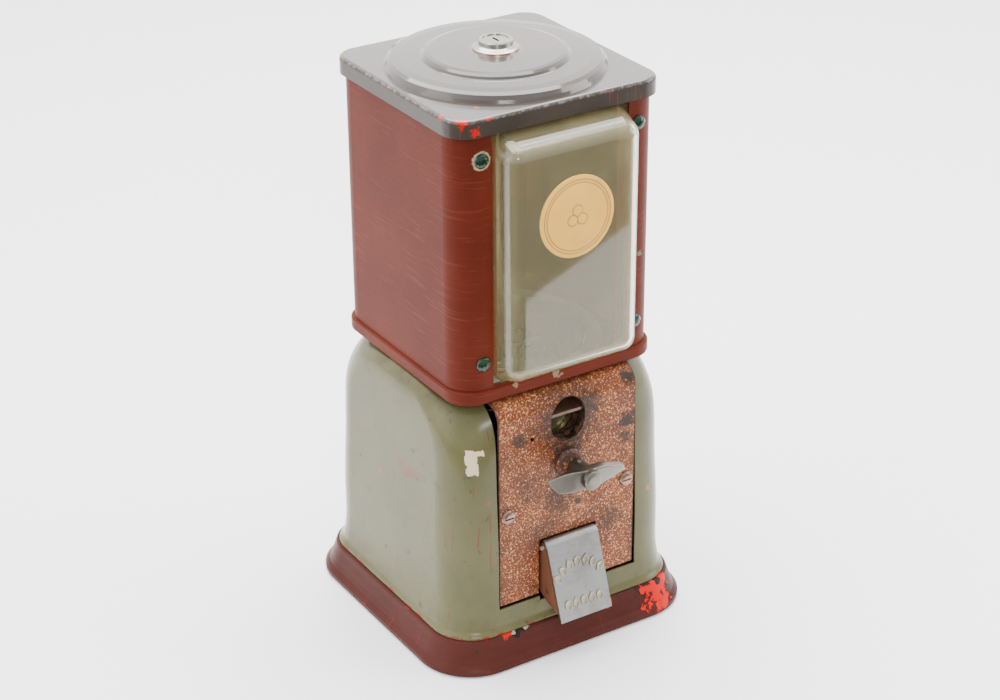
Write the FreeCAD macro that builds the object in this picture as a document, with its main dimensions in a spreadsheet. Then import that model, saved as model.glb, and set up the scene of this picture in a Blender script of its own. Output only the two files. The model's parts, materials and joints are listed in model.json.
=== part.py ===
import FreeCAD, Part
import math
import os
import re
import Sketcher

# Countertop vending machine for gum balls.  Z is up, the front faces -Y, and the origin is
# where the centre rod's axis meets the surface that the machine stands on.  Millimetres.

SIZES = {
    "sheet_wall": 1.2, "fit_gap": 0.05, "rod_radius": 3.97, "shaft_radius": 4.76,
    # foot skirt and base
    "bend_centre": 61, "foot_half": 99.6, "ledge_height": 22, "ledge_half": 90.4,
    "ledge_inside": 80, "base_half": 97, "base_corner": 35, "base_thick": 1.5,
    "nut_collar": 9, "nut_flats": 22, "nut_top": 24, "stand_radius": 4.76, "stand_depth": 12,
    "rod_bottom": 13.2, "rod_top": 386, "jam_flats": 14, "jam_thick": 6,
    # body shell
    "shell_top": 189, "shell_mouth": 62, "cutout_half": 53.8, "cutout_low": 38.5,
    "cutout_back": 58, "cutout_notch_half": 22.5, "cutout_notch_low": 35.6,
    # mechanism plate
    "plate_face": 84, "plate_thick": 1.6, "plate_half": 52.5, "plate_low": 40,
    "plate_top": 186.4, "plate_back": 64, "plate_bend": 12, "notch_half": 22.5, "notch_top": 81,
    "coin_radius": 13, "coin_low": 162, "coin_high": 167, "peep_radius": 1.5, "peep_side": -27.5,
    "peep_height": 157.5, "screw_side": 46, "screw_height": 106, "screw_radius": 2,
    "screw_head": 5.25, "screw_rise": 2.6, "post_radius": 5,
    # drive line on the handle's axis
    "handle_height": 133, "shaft_front": 113, "shaft_back": 50.5, "bush_front": 92,
    "bush_flange": 10, "bush_neck": 7.2, "hub_front": 114, "hub_back": 93, "hub_radius": 6.6,
    "wing_front": 111, "wing_back": 103, "wing_reach": 28.5, "pin_radius": 1.2,
    "cup_back": 71, "cup_wall": 1.2, "coin_wheel_radius": 31, "coin_wheel_front": 70.4,
    "coin_wheel_back": 67.2, "coin_notch_half": 9.8, "coin_notch_depth": 15,
    "gate_front": 66.6, "gate_thick": 1.2, "gate_half": 18, "gate_low": 149, "gate_top": 182,
    "ledge_low": 167, "ledge_thick": 2, "coin_ledge_half": 12.6, "coin_ledge_front": 81.5,
    "web_front": 62, "web_thick": 2.5, "web_half": 52, "web_low": 98, "web_top": 170,
    "pinion_front": 57, "pinion_back": 51, "pinion_tip": 11.2, "pinion_root": 6,
    "tooth_width": 2.6, "pinion_teeth": 6, "crown_teeth": 36,
    "pawl_side": 37.1, "pawl_height": 142.9, "pawl_pin_radius": 2,
    # dispensing wheel and its neighbours
    "wheel_low": 144.5, "wheel_top": 158.5, "wheel_radius": 57.3, "pocket_radius": 10,
    "pocket_circle": 37, "pocket_count": 6, "crown_low": 139.6, "crown_inner": 51,
    "crown_outer": 57, "exit_low": 142.4, "exit_top": 144.2, "exit_radius": 46.5,
    "exit_hole": 10.5, "arm_inner": 22, "arm_outer": 28, "hub_top": 164, "agitator_hub": 12,
    "collar_radius": 7, "collar_length": 5.6,
    "funnel_flange_low": 190.2, "funnel_top": 58, "funnel_neck": 48, "funnel_low": 159.3,
    "deflector_half": 12.5, "deflector_low": 160,
    # delivery chute and door
    "chute_half": 20, "hinge_front": 85.8, "hinge_height": 75.4, "hinge_pin_radius": 1.5,
    "ear_radius": 3, "door_thick": 1.6, "door_bend": 3.5, "door_length": 52, "door_slant": 19.5,
    "door_wrap": 80,
    "knuckle_radius": 3.6, "knuckle_inner": 10, "knuckle_outer": 17.5, "hinge_pin_half": 22.2,
    # hopper and window
    "hopper_half": 74.1, "hopper_corner": 18, "band_half": 75.9, "band_low": 188,
    "band_top": 197, "hopper_top": 378, "opening_half": 50, "opening_low": 198,
    "bubble_half": 49.5, "bubble_low": 198.7, "bubble_top": 366.8, "bubble_face": 94,
    "face_half": 47.4, "face_low": 207, "face_top": 359, "bubble_wall": 1.8, "bubble_edge": 10,
    "flange_front": 72.2, "flange_half": 60.5, "flange_thick": 1.5, "flange_low": 192,
    "flange_top": 374, "strip_inner": 44, "strip_thick": 1, "rivet_side": 57,
    "rivet_low": 215.5, "rivet_high": 352, "rivet_shank": 1.9, "rivet_head": 5,
    "rivet_rise": 3, "disc_radius": 27, "disc_height": 309, "disc_thick": 1.2,
    # lid and lock
    "lid_half": 76.2, "lid_corner": 15.5, "lid_low": 368, "lid_flat": 379.5, "lid_wall": 1.2,
    "lid_edge": 2.6, "dome_base": 71, "lock_stem": 11, "lock_bore": 8.5,
    "lock_low": 378.4, "plug_low": 379.2, "plug_top": 395.3, "plug_seat": 387, "key_floor": 391.5,
}

# The shell's outline at each height: height, half width, corner radius.
SHELL_LEVELS = [
    (22, 89.2, 29), (23.6, 89.2, 29), (25.4, 87.9, 28.5), (29, 86.7, 28.5), (36, 85.8, 28.5),
    (60, 85.1, 28.5), (105, 84, 28.5), (150, 82.6, 28.5), (162, 82.1, 33), (170, 81.7, 40),
    (177, 81, 49), (181.5, 79.8, 55.5), (184.5, 78, 60), (187, 74.8, 64), (189, 70, 65.5),
]

os.makedirs("parts", exist_ok=True)
doc = FreeCAD.newDocument("gumball_machine")
sheet = doc.addObject("Spreadsheet::Sheet", "dims")
nodes = {}
ROW_WORDS = ("height", "half", "corner")


def fill_sheet():
    rows = dict(SIZES)
    for level, numbers in enumerate(SHELL_LEVELS):
        letter = chr(ord("a") + level)
        for word, number in zip(ROW_WORDS, numbers):
            rows[f"shell_{letter}_{word}"] = number
    for row, (name, number) in enumerate(rows.items(), start=1):
        sheet.set(f"A{row}", name)
        sheet.set(f"B{row}", str(number))
        sheet.setAlias(f"B{row}", name)
    doc.recompute()
    return set(rows)


aliases = fill_sheet()


def value(text):
    """the number that an expression of the sheet's names stands for"""
    return float(sheet.evalExpression(str(text)))


def linked(text):
    """the same expression as the document's other objects write it"""
    words = r"[a-z][a-z0-9_]*"
    return re.sub(words, lambda w: f"dims.{w[0]}" if w[0] in aliases else w[0], str(text))


def bind(thing, prop, text):
    if isinstance(text, str):
        thing.setExpression(prop, linked(text))


# ---- bodies, sketches and features ----

def new_body(label, at=(0, 0, 0), forward=False):
    """a body; one that lies forward is drawn upright and then turned so that its Z is -Y"""
    body = doc.addObject("PartDesign::Body", label)
    body.Label = label
    turn = FreeCAD.Rotation(FreeCAD.Vector(1, 0, 0), 90 if forward else 0)
    body.Placement = FreeCAD.Placement(FreeCAD.Vector(*[value(n) for n in at]), turn)
    for letter, text in zip("xyz", at):
        bind(body, f"Placement.Base.{letter}", text)
    nodes[label] = body
    return body


def origin_part(body, role):
    return next(part for part in body.Origin.OriginFeatures if part.Role == role)


def new_sketch(body, plane, offset=0):
    """XY faces up, XZ faces the front and YZ faces +X; offset is along that direction"""
    sketch = body.newObject("Sketcher::SketchObject", "Outline")
    sketch.AttachmentSupport = (origin_part(body, plane + "_Plane"), [""])
    sketch.MapMode = "FlatFace"
    sketch.AttachmentOffset = FreeCAD.Placement(
        FreeCAD.Vector(0, 0, value(offset)), FreeCAD.Rotation())
    bind(sketch, "AttachmentOffset.Base.z", offset)
    return sketch


def point(x, y):
    return FreeCAD.Vector(value(x), value(y), 0)


def hold_point(sketch, edge, end, x, y):
    for kind, text in (("DistanceX", x), ("DistanceY", y)):
        rule = Sketcher.Constraint(kind, -1, 1, edge, end, value(text))
        index = sketch.addConstraint(rule)
        bind(sketch, f"Constraints[{index}]", text)


def hold_radius(sketch, edge, radius):
    index = sketch.addConstraint(Sketcher.Constraint("Radius", edge, value(radius)))
    bind(sketch, f"Constraints[{index}]", radius)


def polygon(sketch, corners):
    first = sketch.GeometryCount
    count = len(corners)
    for this in range(count):
        start, end = corners[this], corners[(this + 1) % count]
        sketch.addGeometry(Part.LineSegment(point(*start), point(*end)), False)
    for this, corner in enumerate(corners):
        after = first + (this + 1) % count
        sketch.addConstraint(Sketcher.Constraint("Coincident", first + this, 2, after, 1))
        hold_point(sketch, first + this, 1, *corner)
    return sketch


def circle(sketch, x, y, radius):
    ring = Part.Circle(point(x, y), FreeCAD.Vector(0, 0, 1), value(radius))
    edge = sketch.addGeometry(ring, False)
    hold_point(sketch, edge, 3, x, y)
    hold_radius(sketch, edge, radius)
    return sketch


def arc(centre, radius, low, high):
    ring = Part.Circle(centre, FreeCAD.Vector(0, 0, 1), radius)
    return Part.ArcOfCircle(ring, math.radians(low), math.radians(high))


def upright_slot(sketch, x, low, high, radius):
    """two half circles joined by straight sides"""
    size = value(radius)
    top = sketch.addGeometry(arc(point(x, high), size, 0, 180), False)
    side = FreeCAD.Vector(size, 0, 0)
    left = Part.LineSegment(point(x, high) - side, point(x, low) - side)
    left = sketch.addGeometry(left, False)
    bottom = sketch.addGeometry(arc(point(x, low), size, 180, 360), False)
    right = Part.LineSegment(point(x, low) + side, point(x, high) + side)
    right = sketch.addGeometry(right, False)
    for first, end, second, start in (
            (top, 2, left, 1), (left, 2, bottom, 1), (bottom, 2, right, 1), (right, 2, top, 1)):
        sketch.addConstraint(Sketcher.Constraint("Tangent", first, end, second, start))
    hold_point(sketch, top, 3, x, high)
    hold_point(sketch, bottom, 3, x, low)
    hold_radius(sketch, top, radius)
    return sketch


def rounded_square(sketch, half, corner, split=False):
    """a square with round corners about the origin; split starts it in the middle of a side"""
    reach, size = value(half), value(corner)
    inside = reach - size
    edges = []
    turns = [(1, 1, 0), (-1, 1, 90), (-1, -1, 180), (1, -1, 270)]
    sides = [((reach, -inside), (reach, inside)), ((inside, reach), (-inside, reach)),
             ((-reach, inside), (-reach, -inside)), ((-inside, -reach), (inside, -reach))]
    if split:
        sides[0] = ((reach, 0), (reach, inside))
    for (start, end), (right, back, angle) in zip(sides, turns):
        line = Part.LineSegment(FreeCAD.Vector(*start, 0), FreeCAD.Vector(*end, 0))
        centre = FreeCAD.Vector(right * inside, back * inside, 0)
        edges.append(sketch.addGeometry(line, False))
        edges.append(sketch.addGeometry(arc(centre, size, angle, angle + 90), False))
        hold_radius(sketch, edges[-1], corner)
        along = [f"{sign * 1} * ({half} - ({corner}))" for sign in (right, back)]
        hold_point(sketch, edges[-1], 3, *along)
    if split:
        line = Part.LineSegment(FreeCAD.Vector(reach, -inside, 0), FreeCAD.Vector(reach, 0, 0))
        edges.append(sketch.addGeometry(line, False))
        sketch.addConstraint(Sketcher.Constraint("PointOnObject", edges[0], 1, -1))
    for this, after in zip(edges, edges[1:]):
        sketch.addConstraint(Sketcher.Constraint("Tangent", this, 2, after, 1))
    closing = "Coincident" if split else "Tangent"
    sketch.addConstraint(Sketcher.Constraint(closing, edges[-1], 2, edges[0], 1))
    return sketch


def extrude(body, kind, sketch, length, both=False):
    """a pad, or a pocket that cuts the way the sketch faces"""
    doc.recompute()
    before = body.Shape.Volume if body.Tip else 0
    feature = body.newObject("PartDesign::" + kind, kind)
    feature.Profile = sketch
    feature.Length = value(length)
    bind(feature, "Length", length)
    feature.Midplane = both
    feature.Reversed = kind == "Pocket" and not both
    doc.recompute()
    grown = body.Shape.Volume - before
    if (grown <= 0) == (kind == "Pad"):
        raise RuntimeError(f"{body.Label}: {kind} changed nothing")
    return feature


def pad(body, sketch, length, both=False):
    return extrude(body, "Pad", sketch, length, both)


def pocket(body, sketch, length, both=False):
    return extrude(body, "Pocket", sketch, length, both)


def revolve(body, outline, kind="Revolution"):
    """outline is pairs of radius and height"""
    sketch = polygon(new_sketch(body, "XZ"), outline)
    doc.recompute()
    feature = body.newObject("PartDesign::" + kind, kind)
    feature.Profile = sketch
    feature.ReferenceAxis = (sketch, ["V_Axis"])
    doc.recompute()
    return feature


def loft(body, kind, sections, ruled=False):
    doc.recompute()
    feature = body.newObject("PartDesign::" + kind, kind)
    feature.Profile = sections[0]
    feature.Sections = sections[1:]
    feature.Ruled = ruled
    doc.recompute()
    return feature


def fillet(body, radius, chosen):
    doc.recompute()
    base = body.Tip
    names = [f"Edge{i}" for i, edge in enumerate(base.Shape.Edges, start=1) if chosen(edge)]
    feature = body.newObject("PartDesign::Fillet", "Fillet")
    feature.Base = (base, names)
    feature.Radius = value(radius)
    bind(feature, "Radius", radius)
    doc.recompute()
    return feature


def repeat_round(body, feature, count):
    """the feature again round the body's own Z axis"""
    pattern = body.newObject("PartDesign::PolarPattern", "Pattern")
    pattern.Originals = [feature]
    pattern.Axis = (origin_part(body, "Z_Axis"), [""])
    pattern.Angle = 360
    pattern.Occurrences = int(value(count))
    bind(pattern, "Occurrences", count)
    body.Tip = pattern
    doc.recompute()
    return pattern


def turned(label, outline, at=(0, 0, 0), forward=False):
    body = new_body(label, at, forward)
    revolve(body, outline)
    return body


def rectangle(left, low, right, high):
    return [(left, low), (right, low), (right, high), (left, high)]


def hexagon(flats):
    size = f"({flats}) / 2 / cos(30)"
    return [(f"{size} * cos({turn})", f"{size} * sin({turn})") for turn in range(0, 360, 60)]


def group(label, template, places):
    """one node of several equal solids, copied from a template that is not a node itself"""
    template_body = nodes.pop(template)
    doc.recompute()
    solids = [template_body.Shape.copy() for _ in places]
    for solid, (x, z) in zip(solids, places):
        solid.translate(FreeCAD.Vector(value(x), 0, value(z)))
    feature = doc.addObject("Part::Feature", label)
    feature.Label = label
    feature.Shape = Part.makeCompound(solids)
    nodes[label] = feature


def middle(edge):
    return edge.valueAt((edge.FirstParameter + edge.LastParameter) / 2)


# ---- foot, base and rod ----

def foot_skirt():
    """a pressed skirt with a rolled floor edge and a flat ledge for the body"""
    body = new_body("foot_skirt")
    spine = rounded_square(new_sketch(body, "XY"), "foot_half", "foot_half - bend_centre", True)
    outline = [
        ("foot_half - 1.2", 0), ("foot_half", 1.2), ("foot_half", 3.8),
        ("foot_half - 1.4", 5.6), ("foot_half - 3.2", 7.4), ("foot_half - 4.6", 10.4),
        ("foot_half - 7", 17), ("foot_half - 8.2", 21), ("ledge_half", "ledge_height"),
        ("ledge_inside", "ledge_height"), ("ledge_inside", "ledge_height - sheet_wall"),
        ("ledge_half - 0.6", "ledge_height - sheet_wall"), ("foot_half - 8.4", 16.8),
        ("foot_half - 6", 10), ("foot_half - 4.6", 6.9), ("foot_half - 2.5", 4.9),
        ("foot_half - 1.3", 3.3), ("foot_half - 1.3", 1.5), ("foot_half - 2.1", 0)]
    profile = polygon(new_sketch(body, "XZ"), outline)
    doc.recompute()
    sweep = body.newObject("PartDesign::AdditivePipe", "Sweep")
    sweep.Profile = profile
    sweep.Spine = (spine, [f"Edge{i}" for i in range(1, 10)])
    doc.recompute()


def base_plate():
    body = new_body("base_plate")
    pad(body, rounded_square(new_sketch(body, "XY"), "base_half", "base_corner"), "base_thick")
    pocket(body, circle(new_sketch(body, "XY", -1), 0, 0, "nut_collar + fit_gap"), 5)


def stand_nut():
    """a coupling nut: the stand's bolt comes up from below, the rod screws in from above"""
    body = new_body("stand_nut")
    pad(body, circle(new_sketch(body, "XY"), 0, 0, "nut_collar"), "base_thick")
    sketch = polygon(new_sketch(body, "XY", "base_thick"), hexagon("nut_flats"))
    pad(body, sketch, "nut_top - base_thick")
    pocket(body, circle(new_sketch(body, "XY"), 0, 0, "stand_radius"), "stand_depth")
    sketch = circle(new_sketch(body, "XY", "stand_depth + 1"), 0, 0, "rod_radius")
    pocket(body, sketch, "nut_top")


def rod_jam_nut():
    body = new_body("rod_jam_nut", (0, 0, "nut_top + 0.2"))
    pad(body, polygon(new_sketch(body, "XY"), hexagon("jam_flats")), "jam_thick")
    pocket(body, circle(new_sketch(body, "XY", -1), 0, 0, "rod_radius"), "jam_thick + 2")


def center_rod():
    turned("center_rod", [
        (0, "rod_bottom"), ("rod_radius - 0.6", "rod_bottom"),
        ("rod_radius", "rod_bottom + 0.6"), ("rod_radius", "rod_top - 1"),
        ("rod_radius - 1", "rod_top"), (0, "rod_top")])


# ---- body shell and mechanism plate ----

def shell_sections(body, wall, low, high):
    """outlines of the shell, or of its hollow when wall is not 0"""
    sections = []
    for level in range(len(SHELL_LEVELS)):
        name = "shell_" + chr(ord("a") + level)
        shift = low if level == 0 else high if level == len(SHELL_LEVELS) - 1 else 0
        sketch = new_sketch(body, "XY", f"{name}_height + ({shift})")
        sections.append(rounded_square(sketch, f"{name}_half - {wall}",
                                       f"{name}_corner - {wall}"))
    return sections


def body_shell():
    body = new_body("body_shell")
    loft(body, "AdditiveLoft", shell_sections(body, "0", "0", "0"))
    loft(body, "SubtractiveLoft",
         shell_sections(body, "sheet_wall", "-0.5", "-sheet_wall"))
    mouth = circle(new_sketch(body, "XY", "shell_top - 5"), 0, 0, "shell_mouth")
    pocket(body, mouth, 10)
    cutout = polygon(new_sketch(body, "XZ", "cutout_back"), [
        ("-cutout_half", "cutout_low"), ("-cutout_notch_half", "cutout_low"),
        ("-cutout_notch_half", "cutout_notch_low"), ("cutout_notch_half", "cutout_notch_low"),
        ("cutout_notch_half", "cutout_low"), ("cutout_half", "cutout_low"),
        ("cutout_half", "shell_top + 5"), ("-cutout_half", "shell_top + 5")])
    pocket(body, cutout, 40)


def mech_plate():
    """a flat front plate whose top is bent back over the shoulder"""
    body = new_body("mech_plate")
    outline = [
        ("-plate_face", "plate_low"), ("-plate_face", "plate_top"), ("-plate_back", "plate_top"),
        ("-plate_back", "plate_top - plate_thick"),
        ("plate_thick - plate_face", "plate_top - plate_thick"),
        ("plate_thick - plate_face", "plate_low")]
    pad(body, polygon(new_sketch(body, "YZ"), outline), "2 * plate_half", True)
    for side, radius in ((0, "plate_bend"), (1, "plate_bend - plate_thick")):
        y = value(f"{side} * plate_thick - plate_face")
        z = value(f"plate_top - {side} * plate_thick")
        fillet(body, radius, lambda edge, y=y, z=z: abs(middle(edge).y - y) < 0.01
               and abs(middle(edge).z - z) < 0.01 and abs(middle(edge).x) < 0.01)
    behind = "plate_back + 1"
    holes = new_sketch(body, "XZ", behind)
    circle(holes, 0, "handle_height", "bush_neck + fit_gap")
    circle(holes, "peep_side", "peep_height", "peep_radius")
    for side in (-1, 1):
        circle(holes, f"{side} * screw_side", "screw_height", "screw_radius + 0.4")
    upright_slot(holes, 0, "coin_low", "coin_high", "coin_radius")
    polygon(holes, rectangle("-notch_half", "plate_low - 1", "notch_half", "notch_top"))
    pocket(body, holes, 30)


# ---- coin mechanism ----

def coin_cup():
    """an oval collar behind the coin opening"""
    body = new_body("coin_cup")
    back = "cup_back"
    depth = "plate_face - plate_thick - cup_back"
    outer = upright_slot(new_sketch(body, "XZ", back), 0, "coin_low", "coin_high",
                         "coin_radius + cup_wall")
    pad(body, outer, depth)
    inner = upright_slot(new_sketch(body, "XZ", back), 0, "coin_low", "coin_high",
                         "coin_radius")
    pocket(body, inner, depth)
    under_bend = [(-83, 174.4), (-77.2, 183.6), (-83, 183.6)]
    pocket(body, polygon(new_sketch(body, "YZ"), under_bend), 40, True)


def coin_gate():
    """a backing plate with a ledge that keeps the coin in the wheel's notch"""
    body = new_body("coin_gate")
    front = "gate_front - gate_thick"
    plate = rectangle("-gate_half", "gate_low", "gate_half", "gate_top")
    pad(body, polygon(new_sketch(body, "XZ", front), plate), "gate_thick")
    ledge = rectangle("-coin_ledge_half", "ledge_low", "coin_ledge_half",
                      "ledge_low + ledge_thick")
    pad(body, polygon(new_sketch(body, "XZ", front), ledge), "coin_ledge_front - gate_front + gate_thick")
    posts = new_sketch(body, "XZ", "web_front")
    for side in (-1, 1):
        circle(posts, f"{side} * 12", "web_top - 4", 3)
    pad(body, posts, "gate_front - web_front - 0.5")


def coin_wheel():
    body = new_body("coin_wheel", (0, "-coin_wheel_back", "handle_height"), True)
    thick = "coin_wheel_front - coin_wheel_back"
    pad(body, circle(new_sketch(body, "XY"), 0, 0, "coin_wheel_radius"), thick)
    pad(body, circle(new_sketch(body, "XY", -2.9), 0, 0, 9), 3.4)
    notch_end = "coin_wheel_radius - coin_notch_depth + coin_notch_half"
    notch = upright_slot(new_sketch(body, "XY", -0.5), 0, notch_end, "coin_wheel_radius + 9",
                         "coin_notch_half")
    pocket(body, notch, 6)
    pocket(body, circle(new_sketch(body, "XY", -4), 0, 0, "shaft_radius"), 10)


def shaft_bushing():
    front = "bush_front - plate_face"
    turned("shaft_bushing", [
        ("shaft_radius + fit_gap", "-plate_thick - 1.4"), ("bush_neck", "-plate_thick - 1.4"),
        ("bush_neck", 0), ("bush_flange", 0), ("bush_flange", 1.6),
        ("bush_flange - 1.2", 2.6), ("bush_neck + 0.8", 3.4), ("bush_neck", 6),
        ("bush_neck - 0.6", front), ("shaft_radius + fit_gap", front)],
        (0, "-plate_face", "handle_height"), True)


def handle_shaft():
    length = "shaft_front - shaft_back"
    turned("handle_shaft", [
        (0, 0), ("shaft_radius - 0.5", 0), ("shaft_radius", 0.5),
        ("shaft_radius", f"{length} - 0.5"), ("shaft_radius - 0.5", length), (0, length)],
        (0, "-shaft_back", "handle_height"), True)


def wing_handle():
    """a cast hub with two tapered wings"""
    body = new_body("wing_handle", (0, "-hub_back", "handle_height"), True)
    length = "hub_front - hub_back"
    revolve(body, [
        (0, 0), ("hub_radius", 0), ("hub_radius", f"{length} - 2.4"),
        ("hub_radius - 1", f"{length} - 0.8"), ("hub_radius - 3", length), (0, length)])
    wings = [("wing_reach", -2.2), ("wing_reach - 2.5", 4), (14, 5.4), (6, 5.6), (-6, 5.6),
             (-14, 4.6), ("1 - wing_reach", 3.4), ("-wing_reach", 1.8),
             ("2.5 - wing_reach", -4), (-14, -5.4), (-6, -5.6), (6, -5.6), (14, -4.6),
             ("wing_reach - 1", -3.4)]
    sketch = polygon(new_sketch(body, "XY", "wing_back - hub_back"), wings)
    pad(body, sketch, "wing_front - wing_back")
    hole = circle(new_sketch(body, "XY", -1), 0, 0, "shaft_radius")
    pocket(body, hole, "shaft_front - hub_back + 1")
    across = circle(new_sketch(body, "XZ", -20), 0, 4, "pin_radius")
    pocket(body, across, 40)


def handle_pin():
    """stands upright through the hub; the shaft ends in front of and behind it"""
    body = new_body("handle_pin", (0, "-hub_back - 4", "handle_height + shaft_radius"))
    pad(body, circle(new_sketch(body, "XY"), 0, 0, "pin_radius"), 2.4)


def mech_frame():
    """the bearing web behind the coin wheel, its two posts and the arms under the exit plate"""
    body = new_body("mech_frame")
    back = "web_front - web_thick"
    web = polygon(new_sketch(body, "XZ", back), [
        ("-web_half", "web_low"), ("web_half", "web_low"), ("web_half", "web_low + 16"),
        ("42.5", "web_top - 18"), ("30", "web_top"), ("-30", "web_top"),
        ("-42.5", "web_top - 18"), ("-web_half", "web_low + 16")])
    pad(body, web, "web_thick")
    posts = new_sketch(body, "XZ", back)
    for side in (-1, 1):
        circle(posts, f"{side} * screw_side", "screw_height", "post_radius")
    pad(body, posts, "plate_face - plate_thick - web_front + web_thick")
    pad(body, circle(new_sketch(body, "XZ", back), 0, "handle_height", 8.5), "web_thick + 1.6")
    arm = [("1 - web_front", 128), ("1 - web_front", 137.5), (-40, 137.5), (-40, "exit_low"),
           (15, "exit_low"), (15, 137), (-36, 132), (-50, 128)]
    for side in (-1, 1):
        place = f"{side} * (arm_inner + arm_outer) / 2"
        sketch = polygon(new_sketch(body, "YZ", place), arm)
        pad(body, sketch, "arm_outer - arm_inner", True)
    holes = new_sketch(body, "XZ", "web_front - web_thick - 1")
    circle(holes, 0, "handle_height", "shaft_radius + fit_gap")
    circle(holes, "pawl_side", "pawl_height", "pawl_pin_radius")
    for side in (-1, 1):
        circle(holes, f"{side} * screw_side", "screw_height", "screw_radius + 0.05")
    pocket(body, holes, 30)


def plate_screws():
    slot_half = 0.6
    body = turned("screw_template", [
        (0, -16), ("screw_radius", -16), ("screw_radius", 0), ("screw_head", 0),
        ("screw_head", 0.7), ("screw_head - 0.9", "screw_rise - 0.7"),
        ("screw_head - 2.6", "screw_rise - 0.1"), (0, "screw_rise")], (0, "-plate_face", 0), True)
    slot = rectangle(-6, -slot_half, 6, slot_half)
    pocket(body, polygon(new_sketch(body, "XY", "screw_rise - 0.9"), slot), 2)
    group("plate_screws", "screw_template",
          [("-screw_side", "screw_height"), ("screw_side", "screw_height")])


def coin_pawl():
    """a sprung finger that rides just off the coin wheel's rim"""
    body = new_body("coin_pawl", ("pawl_side", "-coin_wheel_back", "pawl_height"), True)
    thick = "coin_wheel_front - coin_wheel_back"
    arm = [(-16.9, 14.15), (-13.7, 18), (2.9, 3.45), (3.5, -1.5), (1.5, -3.6), (-1, -1.15)]
    pad(body, polygon(new_sketch(body, "XY"), arm), thick)
    hole = circle(new_sketch(body, "XY", -1), 0, 0, "pawl_pin_radius + fit_gap")
    pocket(body, hole, 6)


def pawl_pin():
    turned("pawl_pin", [
        (0, 0), ("pawl_pin_radius", 0), ("pawl_pin_radius", 11.2), (3.6, 11.2), (3.6, 12.4),
        (0, 12.4)], ("pawl_side", "-web_front + web_thick", "pawl_height"), True)


def pawl_spring():
    """the torsion spring's closed winding"""
    turned("pawl_spring", [(2.3, 0), (3.3, 0), (3.3, 4.4), (2.3, 4.4)],
           ("pawl_side", "-web_front - 0.2", "pawl_height"), True)


def drive_pinion():
    """few narrow teeth that mesh with the dispensing wheel's crown teeth"""
    body = new_body("drive_pinion", (0, "-pinion_back", "handle_height"), True)
    width = "pinion_front - pinion_back"
    pad(body, circle(new_sketch(body, "XY"), 0, 0, "pinion_root"), width)
    tooth = rectangle("pinion_root - 1", "-tooth_width / 2", "pinion_tip", "tooth_width / 2")
    feature = pad(body, polygon(new_sketch(body, "XY"), tooth), width)
    repeat_round(body, feature, "pinion_teeth")
    pocket(body, circle(new_sketch(body, "XY", -1), 0, 0, "shaft_radius"), "pinion_front")


# ---- dispensing wheel, hopper floor and agitator ----

def dispensing_wheel():
    body = new_body("dispensing_wheel")
    deep = "wheel_top - wheel_low"
    pad(body, circle(new_sketch(body, "XY", "wheel_low"), 0, 0, "wheel_radius"), deep)
    hole = circle(new_sketch(body, "XY", "wheel_low - 1"), 0, "-pocket_circle", "pocket_radius")
    repeat_round(body, pocket(body, hole, 20), "pocket_count")
    tooth = rectangle("crown_inner", "-tooth_width / 2", "crown_outer", "tooth_width / 2")
    feature = pad(body, polygon(new_sketch(body, "XY", "crown_low"), tooth),
                  "wheel_low - crown_low + 1")
    repeat_round(body, feature, "crown_teeth")
    bore = circle(new_sketch(body, "XY", "crown_low"), 0, 0, "rod_radius + fit_gap")
    pocket(body, bore, 30)


def agitator():
    """a hub with two strips that stir the gum above the wheel"""
    body = new_body("agitator")
    revolve(body, [
        ("rod_radius + fit_gap", "wheel_top"), ("agitator_hub", "wheel_top"),
        ("agitator_hub", "hub_top - 1.5"), ("agitator_hub - 1.5", "hub_top"),
        ("rod_radius + fit_gap", "hub_top")])
    for side in (-1, 1):
        strip = [(9.5, 160), (11.5, 160), (18.5, 174), (31, 180.5), (30, 182.6), (17, 176)]
        corners = [(side * x, z) for x, z in strip]
        pad(body, polygon(new_sketch(body, "XZ"), corners), 3, True)


def rod_collar():
    low = "hub_top + 0.4"
    turned("rod_collar", [
        ("rod_radius", low), ("collar_radius", low), ("collar_radius", f"{low} + collar_length"),
        ("rod_radius", f"{low} + collar_length")])


def exit_plate():
    """the fixed plate under the wheel, with the one hole that lets a pocket empty"""
    body = new_body("exit_plate")
    plate = circle(new_sketch(body, "XY", "exit_low"), 0, 0, "exit_radius")
    pad(body, plate, "exit_top - exit_low")
    pad(body, circle(new_sketch(body, "XY", "exit_low"), 0, 0, 8), "wheel_low - exit_low - 0.05")
    holes = new_sketch(body, "XY", "exit_low - 1")
    circle(holes, 0, 0, "rod_radius + fit_gap")
    circle(holes, 0, "-pocket_circle", "exit_hole")
    pocket(body, holes, 6)


def ball_funnel():
    flange = "funnel_flange_low"
    turned("ball_funnel", [
        ("funnel_neck", "funnel_low"), ("funnel_neck + 1", "funnel_low"),
        ("funnel_top + 1", flange), ("funnel_top + 10", flange),
        ("funnel_top + 10", f"{flange} + sheet_wall"), ("funnel_top", f"{flange} + sheet_wall")])


def ball_deflector():
    """keeps loose gum from dropping straight through the pocket over the exit hole"""
    body = new_body("ball_deflector")
    plate = rectangle("-deflector_half", -46.4, "deflector_half", -25.5)
    pad(body, polygon(new_sketch(body, "XY", "deflector_low"), plate), "sheet_wall")
    rear = rectangle(-46.4, "deflector_low", -45.2, "deflector_low + 12")
    pad(body, polygon(new_sketch(body, "YZ"), rear), "2 * deflector_half", True)


# ---- delivery chute and door ----

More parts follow.
